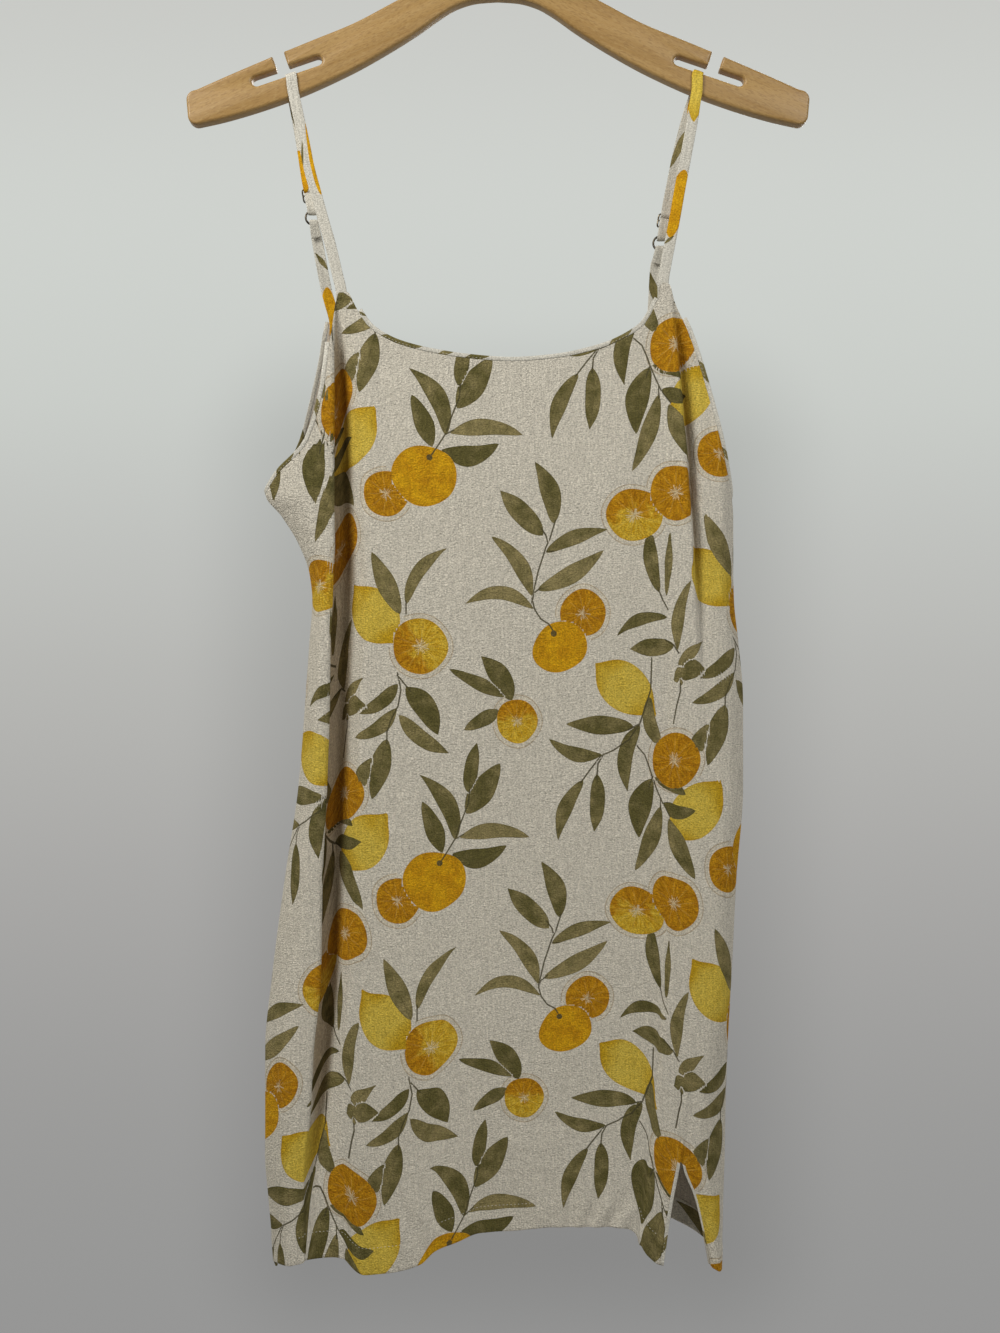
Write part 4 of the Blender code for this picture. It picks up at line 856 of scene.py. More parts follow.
def dress_panel(name, lines_at, edges, creases, stops, spacing, row_count, away, place_of, slit=None):
    """Builds a panel's outer face with its turned-up hem, and its inner face.

    Shape = sections + normal * (creases + lie + ripple), where lie steps out over the hem's
    second layer and dips at its stitches, and ripple is the hem's fine pucker.
    """
    top, hem = edges
    places = even_places(lines_at, spacing, stops)
    points, shares = panel(lines_at, top, hem, places, row_count, (slit[0], SLIT_TOP) if slit else None)
    if slit:
        soft = np.exp(-((places - RIDGE_PLACE) / RIDGE_REACH) ** 2)[None, :]
        soft = (soft * ease(-points[..., 2], 380, 470))[:, 1:-1, None]
        for _ in range(RIDGE_PASSES):
            eased = (points[:, :-2, :2] + 2 * points[:, 1:-1, :2] + points[:, 2:, :2]) / 4
            points[:, 1:-1, :2] += soft * (eased - points[:, 1:-1, :2])
        first, last = (nearest(places, line) for line in slit)
        opening = nearest(points[:, first, 2], SLIT_TOP)

    def cells(rows, columns, flip):
        """Faces between chosen rows and columns, without those of the slit."""
        faces = grid_faces(len(rows), len(columns), flip)
        if slit:
            row = np.repeat(rows[:-1], len(columns) - 1)
            column = np.tile(columns[:-1], len(rows) - 1)
            faces = faces[~((column >= first) & (column < last) & (row >= opening))]
        return faces

    normals = outward(points, away)
    x, z = points[..., 0], points[..., 2]
    above = z - smooth_line(*zip(*hem), places)[None, :]
    in_hem = 1 - ease(above, HEM_HEIGHT - 1.2, HEM_HEIGHT + 0.6)
    seam_room = ease(np.minimum(x - x.min(axis=1, keepdims=True), x.max(axis=1, keepdims=True) - x), 0.0, 8.0)
    push = creases_at(creases, x, z) * seam_room
    top_push = push * ease(shares, 0.0, 0.03)[:, None]
    lie = OUTER + (HEM_OUT - OUTER) * in_hem - STITCH_DIP * np.exp(-((above - HEM_HEIGHT + 1.6) / 0.9) ** 2)
    ripple = PUCKER_HEIGHT * np.sin(x / 3.1 + 2 * np.sin(z / 17.0)) * np.exp(-above / PUCKER_REACH)
    shape = points + normals * (top_push + lie + ripple * seam_room)[..., None]
    spot = place_of(points, places)
    rounds = [shape[-1] - normals[-1] * HEM_OUT * (1 - math.cos(a)) * 1.05 - (0, 0, 0.7 * math.sin(a))
              for a in map(math.radians, (45, 90, 135))]
    inside_rows = [k for k in range(row_count - 1, 0, -1) if shares[k] > 1 - HEM_HEIGHT / CLOTH_DROP]
    turned = [points[k] + normals[k] * (push[k] - HEM_OUT * 1.1)[:, None] for k in inside_rows]
    grid = np.concatenate([shape, np.array(rounds + turned)])
    spots = spot[[*range(row_count), *[row_count - 1] * 3, *inside_rows]].reshape(-1, 2)
    columns = np.arange(len(places))
    faces = cells(np.arange(len(grid)), columns, away > 0)
    outer = mesh_piece(name, grid, faces, CLOTH_OUT, printed(spots, faces))
    # Painted shade for the folds: how deep each point lies in a hollow, kept on the points.
    painted_fold_shade = outer.data.attributes.new("painted_fold_shade", "FLOAT", "POINT")
    painted_fold_shade.data.foreach_set("value", painted_fold_shade_of(grid, away).ravel())

    rows = np.union1d(np.arange(0, row_count, 3), row_count - 2)
    kept = np.union1d(columns[::3], columns[-1])
    if slit:
        folded = (np.abs(places - 4.5) < 2.6) | (np.abs(places - 12.3) < 2.0)
        kept = np.union1d(kept, columns[folded])
        rows = np.union1d(rows, opening)
        rows = rows[np.abs(rows - opening) != 1]
    some = np.ix_(rows, kept)
    inner = (points - normals * OUTER)[some] + (normals * top_push[..., None])[some]
    spots = spot[some].reshape(-1, 2)
    faces = cells(rows, kept, away < 0)
    lining = mesh_piece(name + "_wrong_side", inner, faces, CLOTH_IN, printed(spots, faces))
    return outer, lining, (points, normals, places, shape)


front, front_inside, FRONT_FORM = dress_panel(
    "front_cloth", front_lines, (FRONT_TOP, FRONT_HEM), FRONT_CREASES, (0, 12, 13, 17),
    1.8, 392, -1, print_place_front, slit=(12.0, 13.0))
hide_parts("front_panel")

# Back panel
# The same cloth, cut lower at the neck, with softer hanging folds and its own place in the
# print. The photo doesn't show it.

BACK_PRINT = (96.0, 196.0)


def print_place_back(points, places):
    """Where each point of the back lies in the chart of the print, in millimetres."""
    across = arc_across(back_lines, points, places)
    return np.stack([BACK_PRINT[0] - across, -points[..., 2] - BACK_PRINT[1]], axis=-1)


back, back_inside, BACK_FORM = dress_panel(
    "back_cloth", back_lines, (BACK_TOP, BACK_HEM), BACK_CREASES, (0, 6, 12),
    2.3, 306, 1, print_place_back)
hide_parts("back_panel")

# Bindings
# Each cut edge at the neck and armholes is wrapped in a narrow bias strip of the same cloth,
# folded over it and sewn down with one row of stitches near its lower edge.

BINDING_WIDE = 3.1
BINDING_THICK = 1.7
STITCH_LENGTH = 2.1
STITCH_STEP = 2.7
THREAD = 0.23
STITCH_SUNK = 0.22
STRIP_ABOVE_EDGE = 1.72
STITCHES_BELOW_MIDDLE = 0.8
# Where a bit of the print falls on the front neck's strip: from x to x, and its shade.
NECK_PRINT = ((-86, -55, 0.3), (-45, -33, 0.5), (-26, -7, 0.25), (77, 97, 0.4), (-103, -97, 0.4))

thread_cotton, tree, shader = new_material("stitching_thread")
twist = ramp(noise(tree, object_place(tree), 2400.0, 1.0), 0.3, 0.7)
tone = blend(tree, twist, (0.50, 0.46, 0.37), (0.62, 0.58, 0.49))
plug(tree, shader, {"Base Color": tone, "Roughness": 0.7})


def unit(vectors):
    """Vectors made one long."""
    return vectors / np.maximum(np.linalg.norm(vectors, axis=-1, keepdims=True), 1e-9)


def full_turn(count):
    """Angles evenly round a circle."""
    return np.arange(count) / count * 2 * math.pi


def values_at(at, along, values):
    """Rows of values, such as points or normals, at lengths along their path."""
    return np.stack([np.interp(at, along, column) for column in values.T], axis=-1)


def ring_faces(levels, sides, closed=False):
    """The quads between each closed ring of points and the next."""
    level, k = np.arange(levels if closed else levels - 1)[:, None], np.arange(sides)[None, :]
    after, above = (k + 1) % sides, (level + 1) % levels
    quads = (level * sides + k, level * sides + after, above * sides + after, above * sides + k)
    return np.stack(np.broadcast_arrays(*quads), axis=-1).reshape(-1, 4)


def carried(name, path, across, through, profile, material, chart=None, wide_at=None, closed=False):
    """A closed profile carried along a path, with a flat fan of faces on each end.

    Point (s, k) is path(s) + across(s) * profile_u(k) * width(s) + through(s) * profile_v(k).
    """
    wide = np.ones(len(path)) if wide_at is None else wide_at
    u, v = profile[:, 0], profile[:, 1]
    rings = (path[:, None] + across[:, None] * (u[None, :, None] * wide[:, None, None])
             + through[:, None] * v[None, :, None])
    along = run_along(path)
    sides = len(profile)
    faces = ring_faces(len(path), sides, closed)
    points = rings.reshape(-1, 3)
    if closed:
        return mesh_piece(name, points, faces, material)
    spots = np.stack([np.tile(u, len(path)), np.repeat(along, sides)], axis=1)
    ends = []
    for first, ring, flip in ((len(points), 0, False), (len(points) + 1, len(path) - 1, True)):
        points = np.vstack([points, rings[ring].mean(axis=0)])
        spots = np.vstack([spots, [0.0, along[ring]]])
        corner = ring * sides + np.arange(sides)
        follow = ring * sides + (np.arange(sides) + 1) % sides
        cap = np.stack([np.full(sides, first), follow, corner], axis=1)
        ends.append(cap[:, [0, 2, 1]] if flip else cap)
    ends = np.concatenate(ends)
    maps = None
    if chart:
        quads, tips = printed(spots, faces, chart), printed(spots, ends, chart)
        maps = {key: np.concatenate([quads[key], tips[key]]) for key in quads}
    return mesh_piece(name, points, [tuple(f) for f in faces] + [tuple(f) for f in ends], material, maps)


def face_out(item):
    """Turns every face of a closed piece outwards."""
    work = bmesh.new()
    work.from_mesh(item.data)
    bmesh.ops.recalc_face_normals(work, faces=work.faces)
    work.to_mesh(item.data)
    work.free()
    return item


def flat_profile(width, thickness, corner, groove=0.0, groove_at=0.0, count=20):
    """A rectangle with round corners as a closed line, with a shallow groove on its outer face."""
    turn = full_turn(count)
    u, v = (np.sign(way) * np.abs(way) ** (2.0 / corner) * size / 2
            for way, size in ((np.cos(turn), width), (np.sin(turn), thickness)))
    v = v - groove * np.exp(-((u - groove_at) / 0.35) ** 2) * (v > 0)
    return np.stack([u, v], axis=1)


def stitches(name, path, normals, lift):
    """A row of thread stitches: each is a long six-pointed bead lying along the path."""
    along = run_along(path)
    starts = np.arange(STITCH_STEP, along[-1] - STITCH_STEP, STITCH_STEP)
    at = np.stack([starts, starts + STITCH_LENGTH / 2, starts + STITCH_LENGTH], axis=1)
    spot = values_at(at, along, path)
    up = unit(values_at(at[:, 1], along, normals))
    way = unit(spot[:, 2] - spot[:, 0])
    side = np.cross(way, up)
    middle = spot[:, 1] + up * lift
    low = up * (lift - STITCH_SUNK)
    points = np.stack([spot[:, 0] + low, middle + side * THREAD, middle + up * THREAD * 0.8,
                       middle - side * THREAD, middle - up * THREAD * 0.8, spot[:, 2] + low], axis=1)
    base = (np.arange(len(starts)) * 6)[:, None, None]
    pattern = np.array([(0, k, k % 4 + 1) for k in (1, 2, 3, 4)] + [(5, k % 4 + 1, k) for k in (1, 2, 3, 4)])
    faces = (base + pattern[None]).reshape(-1, 3)
    item = mesh_piece(name, points.reshape(-1, 3), faces, thread_cotton)
    return face_out(item)


def binding(name, form, seam, low, high, chart):
    """The folded strip over a panel's cut edge between two places across, and its stitches."""
    points, normals, places, _ = form
    first, last = (nearest(places, place) for place in (low, high))
    edge, face = points[0, first:last + 1], normals[0, first:last + 1]
    along = unit(np.gradient(edge, axis=0))
    out = unit(np.cross(along, face))
    out *= np.sign(np.sum(out * (edge - points[4, first:last + 1]), axis=1, keepdims=True))
    face = unit(np.cross(out, along))
    face *= np.sign(np.sum(face * normals[0, first:last + 1], axis=1, keepdims=True))
    centre = edge + out * STRIP_ABOVE_EDGE
    profile = flat_profile(BINDING_WIDE, BINDING_THICK, 4.0, 0.16, -0.8)
    spots = chart(edge) if callable(chart) else strip_chart(chart)
    strip = face_out(carried(name + "_strip", centre, out, face, profile, CLOTH_TRIM, spots))
    co = np.empty(len(strip.data.vertices) * 3, np.float32)
    strip.data.vertices.foreach_get("co", co)
    y = co.reshape(-1, 3)[:, 1]
    y[:] = np.minimum(y, -SEAM_GAP * 0.001) if seam < 0 else np.maximum(y, SEAM_GAP * 0.001)
    strip.data.vertices.foreach_set("co", co)
    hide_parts(name)
    sewn = centre - out * STITCHES_BELOW_MIDDLE
    return strip, stitches(name + "_stitches", sewn, face, BINDING_THICK / 2)


def strip_chart(bits):
    """A chart for a narrow strip: leaves across it between the named lengths along it."""
    leaves = [(-2.4, a, 2.4, b, 0.34 * (b - a) * 0.5, 0.0, shade) for a, b, shade in bits]
    return (leaves, [], [], [], [np.zeros(2)])


def neck_chart(edge):
    """The front neck's bits of print, whose places are given by x."""
    along = run_along(edge)
    return strip_chart([(*np.interp((a, b), edge[:, 0], along), shade) for a, b, shade in NECK_PRINT])


dress_trim = []
for name, low, high, chart in (
        ("front_neck_binding", 7.0, 11.0, neck_chart),
        ("front_armhole_binding_left", 0.0, 2.75, ((20, 44, 0.3), (70, 92, 0.5))),
        ("front_armhole_binding_right", 13.5, 17.0, ((30, 52, 0.4), (96, 110, 0.5))),
        ("back_neck_binding", 4.34, 7.66, ((24, 46, 0.4), (90, 110, 0.2), (150, 166, 0.5))),
        ("back_armhole_binding_left", 0.0, 3.0, ((40, 62, 0.4),)),
        ("back_armhole_binding_right", 9.0, 12.0, ((66, 84, 0.3),))):
    form, seam = (FRONT_FORM, -1) if name.startswith("front") else (BACK_FORM, 1)
    dress_trim += binding(name, form, seam, low, high, chart)

# Hem and slit
# The hem is turned up 20 mm inside and sewn with one row of stitches that shows outside. The
# slit's two edges are turned in twice, narrow and a little paler, and sewn close to the fold.

HEM_STITCHES = 18.4
HEM_STITCH_LIFT = 0.1


def row_above_hem(form, hem):
    """Points of the outer face where the hem is sewn, with their normals."""
    _, normals, places, shape = form
    level = smooth_line(*zip(*hem), places) + HEM_STITCHES
    rows = [[values_at(level[c], shape[::-1, c, 2], values[::-1, c]) for c in range(len(places))]
            for values in (shape, normals)]
    return np.array(rows[0]), unit(np.array(rows[1]))


hem_path, hem_facing = row_above_hem(FRONT_FORM, FRONT_HEM)
ridge, crease = (nearest(FRONT_FORM[2], place) for place in (12.0, 13.0))
front_hem_stitches = [
    stitches("front_hem_stitches_" + name, hem_path[part], hem_facing[part], HEM_STITCH_LIFT)
    for name, part in (("wide", slice(2, ridge - 1)), ("narrow", slice(crease + 2, -2)))]
path, facing = row_above_hem(BACK_FORM, BACK_HEM)
back_hem_stitches = stitches("back_hem_stitches", path[2:-2], facing[2:-2], HEM_STITCH_LIFT)


def slit_edge(name, column, step):
    """The narrow turned edge along one side of the slit, and its stitches."""
    points, normals, _, shape = FRONT_FORM
    below = slice(nearest(points[:, column, 2], SLIT_TOP) + 1, None)
    face = normals[below, column]
    path = shape[below, column] + face * 0.12
    into = unit(shape[below, column + step] - shape[below, column])
    into = unit(into - face * np.sum(into * face, axis=1, keepdims=True))
    profile = flat_profile(2.6, 0.9, 3.0)
    strip = face_out(carried(name, path + into * 1.1, into, face, profile, CLOTH_TRIM,
                             strip_chart(((50, 66, 0.5),))))
    return strip, stitches(name + "_stitches", path + into * 1.7, face, 0.45)


slit_pieces = [*slit_edge("slit_edge_left", ridge, -1), *slit_edge("slit_edge_right", crease, 1)]

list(dress_trim[:6])
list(dress_trim[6:])

# Straps
# Thin tubes of the same cloth, cut on the bias, turned and pressed flat, so each shows a
# different stretch of the print. The long one runs over the lower edge of the hanger's slot.

STRAP_WIDTH = 8.0
STRAP_PINCHED = 6.4
STRAP_THICKNESS = 1.2
STRAP_IN_SLIDER = 7.0
STRAP_SPARE = 0.2
FRONT_STRAP_FOOT_Y = -7.2
BACK_STRAP_FOOT_Y = 8.9
BACK_STRAP_UPPER_Y = 7.2
GAP = 0.3
HANGER_THICKNESS = 12.0
HANGER_ROUNDING = 2.4
SLOT_CENTRE = (153.0, -162.0)
SLOT_TILT = math.radians(18.8)
SLOT_RADIUS = 3.5
RING_RADIUS = 5.25
RING_WIRE = 1.5
SLIDER_WIDTH = 10.6
SLIDER_HEIGHT = 11.0
SLIDER_BAR = 1.2
RING_BELOW_SLIDER = 17.0
FRONT_STRAND = {
    "left": ((-113.4, -331.0), (-113.6, -321.0), (-116.4, -309.0), (-121.1, -289.0),
             (-126.5, -270.0), (-132.3, -249.0), (-136.6, -233.0), (-140.4, -214.0),
             (-145.3, -191.0), (-148.3, -177.0)),
    "right": ((119.4, -328.0), (119.7, -314.0), (122.2, -299.0), (126.5, -276.6),
              (129.0, -263.0), (131.6, -248.0), (136.4, -222.0), (140.6, -199.0),
              (142.8, -184.0), (144.0, -176.5)),
}
LEDGE_OUT = {"left": 151.4, "right": 146.2}
BACK_STRAND = {
    "left": ((-149.6, -178.0), (-147.2, -191.0), (-143.6, -212.0), (-140.6, -232.0)),
    "right": ((143.6, -176.0), (139.4, -189.0), (132.8, -214.0), (127.2, -241.0)),
}
SLIDER_AT = {"left": (-138.0, -249.0), "right": (121.7, -268.0)}
STRAND_LEAN = {"left": math.radians(9.8), "right": math.radians(-10.4)}
BACK_STRAP_END = {"left": (-119.4, -351.0), "right": (112.2, -357.0)}
# The print on each strap, by length along it from its foot: kind, across, along, half
# length, half width, turn in degrees; and leaves as for the cloth.
STRAP_PRINT = {
    "strap_left": ((("orange", 4.3, 108, 28, 3.0, 92), ("orange", -3.0, 252, 16, 6, 90)),
                   ((-5, 100, -1, 122, 1.0, 0, 0.5), (-4, 176, 3, 196, 2.2, 0, 0.4),
                    (-4, 205, 4, 232, 2.6, 0, 0.4))),
    "strap_right": ((("orange", -0.5, 70, 25, 6.6, 92), ("lemon", 0.5, 152, 19, 7.0, 90),
                     ("orange", 1.5, 196, 14, 4.2, 90)),
                    ((-5, 184, 4, 212, 2.4, 0, 0.5), (4, 216, -4, 250, 3.4, 0, 0.6),
                     (-4, 40, 2, 47, 1.2, 0, 0.4))),
    "back_strap_left": ((("orange", 1.5, 16, 20, 5.2, 84),), ((-4, 48, 3, 62, 2.0, 0, 0.4),)),
    "back_strap_right": ((), ((-4.5, 26, 4.0, 52, 3.6, 0.5, 0.35), (3, 8, -3, 16, 1.6, 0, 0.5))),
}


def route_points(controls, spacing):
    """Points on a smooth curve through the controls (Catmull-Rom), about evenly apart."""
    controls = np.array(controls, float)
    ends = np.vstack([2 * controls[0] - controls[1], controls, 2 * controls[-1] - controls[-2]])
    points = []
    for k in range(1, len(ends) - 2):
        a, b, c, d = ends[k - 1:k + 3]
        count = max(1, round(float(np.linalg.norm(c[:3] - b[:3])) / spacing))
        t = (np.arange(count) / count)[:, None]
        points.append(0.5 * (2 * b + (c - a) * t + (2 * a - 5 * b + 4 * c - d) * t ** 2
                             + (3 * b - a - 3 * c + d) * t ** 3))
    return np.vstack(points + [controls[-1:]])


def strand_frame(side):
    """Slider centre, the way down the back strand and the way across it."""
    lean = STRAND_LEAN[side]
    down = np.array([math.sin(lean), 0.0, -math.cos(lean)])
    x, z = SLIDER_AT[side]
    return np.array([x, 0.0, z]), down, np.array([math.cos(lean), 0.0, math.sin(lean)])


def strap_y():
    """How far from the middle plane a strand lies against the hanger's face."""
    return HANGER_THICKNESS / 2 + GAP + STRAP_THICKNESS / 2


def slider_levels():
    """Depths of the strap's layers at the slider and at the ring."""
    weave = SLIDER_BAR / 2 + GAP + STRAP_THICKNESS / 2
    running_in = strap_y() - weave
    end_layer = running_in - STRAP_THICKNESS - GAP
    return weave, running_in, end_layer, (running_in + end_layer) / 2, \
        RING_WIRE / 2 + GAP + STRAP_THICKNESS / 2 + STRAP_SPARE


def ledge_controls(side):
    """The strap's way over the lower edge of the slot, from the front to the back."""
    mirror = -1.0 if side == "left" else 1.0
    along = np.array([mirror * math.cos(SLOT_TILT), 0.0, -math.sin(SLOT_TILT)])
    up = np.array([mirror * math.sin(SLOT_TILT), 0.0, math.cos(SLOT_TILT)])
    shift = (LEDGE_OUT[side] - SLOT_CENTRE[0]) / math.cos(SLOT_TILT)
    ledge = np.array([mirror * SLOT_CENTRE[0], 0.0, SLOT_CENTRE[1]]) + shift * along - SLOT_RADIUS * up
    bend = HANGER_ROUNDING + GAP + STRAP_THICKNESS / 2 + STRAP_SPARE
    edge_y = HANGER_THICKNESS / 2 - HANGER_ROUNDING
    controls = []
    for degrees in (180, 135, 90, 45, 0):
        turn = math.radians(degrees)
        rise = bend * math.sin(turn) - HANGER_ROUNDING
        if degrees == 90:
            controls += [(*(ledge + up * rise + (0, y, 0)), *up, STRAP_WIDTH) for y in (-edge_y, 0.0, edge_y)]
        else:
            y = math.copysign(edge_y, math.cos(turn)) + bend * math.cos(turn)
            facing = up * math.sin(turn) + np.array([0.0, math.cos(turn), 0.0])
            controls.append((*(ledge + up * rise + (0, y, 0)), *facing, STRAP_WIDTH))
    return controls


def beside_slider(start, down, layers):
    """Controls of a strap, each given by its way down from the slider, depth, facing and width."""
    return [(*(start + drop * down + np.array([0.0, depth, 0.0])), *facing, width)
            for drop, depth, facing, width in layers]


def strap_piece(name, controls):
    """A flat tube with round edges along a route, with its own stretch of the print."""
    route = route_points(controls, 1.1)
    centre, facing, width = route[:, :3], unit(route[:, 3:6]), route[:, 6]
    along = unit(np.gradient(centre, axis=0))
    across = unit(np.cross(along, facing))
    through = np.cross(across, along)
    profile = flat_profile(1.0, STRAP_THICKNESS, 3.2, count=18)
    fruits, leaves = STRAP_PRINT[name]
    profile[:, 0] *= STRAP_WIDTH
    strap = carried(name + "_tube", centre, across, through, profile, CLOTH_TRIM,
                    (leaves, fruits, [], [], [np.zeros(2)]), wide_at=width / STRAP_WIDTH)
    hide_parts(name)
    return face_out(strap)


for side in ("left", "right"):
    y = strap_y()
    start, down, _ = strand_frame(side)
    weave, running_in, end_layer, ring_y, wrap = slider_levels()
    bar = SLIDER_HEIGHT / 2 - SLIDER_BAR / 2
    inner, over = bar - SLIDER_BAR / 2 - GAP, SLIDER_BAR / 2 + GAP
    ring_top, ring_low = RING_BELOW_SLIDER - RING_RADIUS, RING_BELOW_SLIDER + RING_RADIUS
    turn, back_turn = ring_top + 1.3 + wrap, ring_low - 1.3 - wrap
    narrow, wide = STRAP_PINCHED, STRAP_IN_SLIDER
    rear, fore = (0, 1, 0), (0, -1, 0)
    controls = [(x, FRONT_STRAP_FOOT_Y if k < 2 else -y, z, *fore, STRAP_WIDTH)
                for k, (x, z) in enumerate(FRONT_STRAND[side])]
    controls += ledge_controls(side)
    controls += [(x, y, z, *rear, STRAP_WIDTH) for x, z in BACK_STRAND[side]]
    layers = (
        (-bar - 5.0, y - 0.6, rear, 7.4), (-bar - 0.6, running_in, rear, wide),
        (-inner, running_in, rear, wide), (-over, y + weave, rear, wide),
        (over, y + weave, rear, wide), (inner, running_in, rear, wide), (bar + 0.6, running_in, rear, wide),
        (bar + 3.4, ring_y + wrap - 0.3, rear, narrow), (ring_top, ring_y + wrap, rear, narrow),
        (turn - 0.6, ring_y + 0.75 * wrap, (0, 0.7, -0.7), narrow), (turn, ring_y, (0, 0, -1), narrow),
        (turn - 0.6, ring_y - 0.75 * wrap, (0, -0.7, -0.7), narrow),
        (ring_top, ring_y - wrap, fore, narrow), (bar + 3.4, ring_y - wrap + 0.3, fore, narrow),
        (bar + 0.6, end_layer, fore, wide), (inner, end_layer, fore, wide),
        (0.6, running_in, fore, wide), (-1.6, running_in, fore, wide),
    )
    strap_piece("strap_" + side, controls + beside_slider(start, down, layers))

    end_x, end_z = BACK_STRAP_END[side]
    foot = start + (ring_low + 14.0) * down
    controls = [(x, depth, z, *rear, STRAP_WIDTH) for x, depth, z in (
        (end_x, BACK_STRAP_FOOT_Y, end_z),
        (end_x - 0.05 * (end_x - foot[0]), BACK_STRAP_FOOT_Y, end_z + 12.0),
        (0.5 * (end_x + foot[0]), 0.5 * (BACK_STRAP_FOOT_Y + BACK_STRAP_UPPER_Y), 0.5 * (end_z + foot[2])),
        foot + (0.0, BACK_STRAP_UPPER_Y, 0.0),
    )]
    layers = (
        (ring_low + 6.0, ring_y + wrap + 0.3, rear, 7.2), (ring_low, ring_y + wrap, rear, narrow),
        (back_turn + 0.6, ring_y + 0.75 * wrap, (0, 0.7, 0.7), narrow), (back_turn, ring_y, (0, 0, 1), narrow),
        (back_turn + 0.6, ring_y - 0.75 * wrap, (0, -0.7, 0.7), narrow),
        (ring_low, ring_y - wrap, fore, narrow), (ring_low + 5.0, ring_y - wrap + 0.9, fore, 7.2),
        (ring_low + 10.0, ring_y - 0.1, fore, 7.6),
    )
    strap_piece("back_strap_" + side, controls + beside_slider(start, down, layers))

# Rings and sliders
# Bent from thin wire and finished dark bronze, as the usual strap fittings are. The slider's
# frame has one bar across its middle, which the strap is woven over.


def worn_metal(name, dark, worn, roughness):
    """Plated wire, a little lighter and smoother where it is rubbed."""
    material, tree, shader = new_material(name)
    spot = object_place(tree)
    rub = ramp(noise(tree, spot, 420.0, 3.0), 0.45, 0.7)
    plug(tree, shader, {
        "Base Color": blend(tree, rub, dark, worn), "Metallic": 1.0,
        "Roughness": ramp(rub, 0.0, 1.0, roughness, roughness * 0.7),
        "Normal": relief(tree, noise(tree, spot, 900.0, 2.0), 0.12, 0.0002)})
    return material


BRONZE = worn_metal("bronze_fitting", (0.085, 0.072, 0.052), (0.22, 0.185, 0.13), 0.42)


def round_profile(radius, count=14):
    """A circle as a closed line."""
    turn = full_turn(count)
    return np.stack([radius * np.cos(turn), radius * np.sin(turn)], axis=1)


def wire_frame(start, down, across, half_wide, half_high):
    """Points round a rectangle with round corners."""
    turn = full_turn(96)
    u, v = (np.sign(way) * np.abs(way) ** 0.34 for way in (np.cos(turn), np.sin(turn)))
    return start + across * (u * half_wide)[:, None] - down * (v * half_high)[:, None]


def closed_frame(path):
    """The ways across and through a flat closed path that stands in an upright plane."""
    along = unit(np.roll(path, -1, axis=0) - np.roll(path, 1, axis=0))
    through = np.broadcast_to([0.0, 1.0, 0.0], path.shape)
    return unit(np.cross(through, along)), through


for side in ("left", "right"):
    start, down, across = strand_frame(side)
    ring_y = slider_levels()[3]
    centre = start + RING_BELOW_SLIDER * down + np.array([0.0, ring_y, 0.0])
    turn = full_turn(72)
    circle = centre + RING_RADIUS * (across * np.cos(turn)[:, None] + down * np.sin(turn)[:, None])
    ring = face_out(carried("ring_" + side + "_wire", circle, *closed_frame(circle),
                            round_profile(RING_WIRE / 2), BRONZE, closed=True))
    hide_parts("ring_" + side)

    seat = start + np.array([0.0, strap_y(), 0.0])
    half_wide, half_high = (SLIDER_WIDTH - SLIDER_BAR) / 2, (SLIDER_HEIGHT - SLIDER_BAR) / 2
    path = wire_frame(seat, down, across, half_wide, half_high)
    frame_wire = face_out(carried("slider_" + side + "_frame", path, *closed_frame(path),
                                  round_profile(SLIDER_BAR / 2), BRONZE, closed=True))
    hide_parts("slider_" + side)
    path = seat + across * np.linspace(-half_wide + 0.1, half_wide - 0.1, 12)[:, None]
    ways = (np.broadcast_to(way, path.shape) for way in (down, [0.0, 1.0, 0.0]))
    bar = face_out(carried("slider_" + side + "_bar", path, *ways, round_profile(SLIDER_BAR / 2), BRONZE))

# Hanger
# Cut from a beech board 12 mm thick along its arms, with a keyhole-like notch for straps in
# each, its edges rounded over with a router, and given a thin satin lacquer.

HANGER_UPPER = (
    (0.0, -82.5), (18.0, -84.5), (37.0, -91.0), (55.0, -101.0), (75.0, -111.5),
    (105.0, -127.3), (135.0, -139.6), (165.0, -152.0), (195.0, -164.8), (219.0, -175.5),
)
HANGER_LOWER = (
    (218.0, -201.0), (200.0, -197.0), (151.0, -181.5), (108.0, -162.5), (80.0, -147.0),
    (55.5, -131.5), (40.0, -120.5), (28.0, -113.8), (14.0, -110.0), (0.0, -109.0),
)
HANGER_END_RADIUS = 7.0
SLOT_HALF_LENGTH = 23.4
MOUTH = (155.5, 163.5)
MOUTH_FOOT = (-2.1, 6.5)


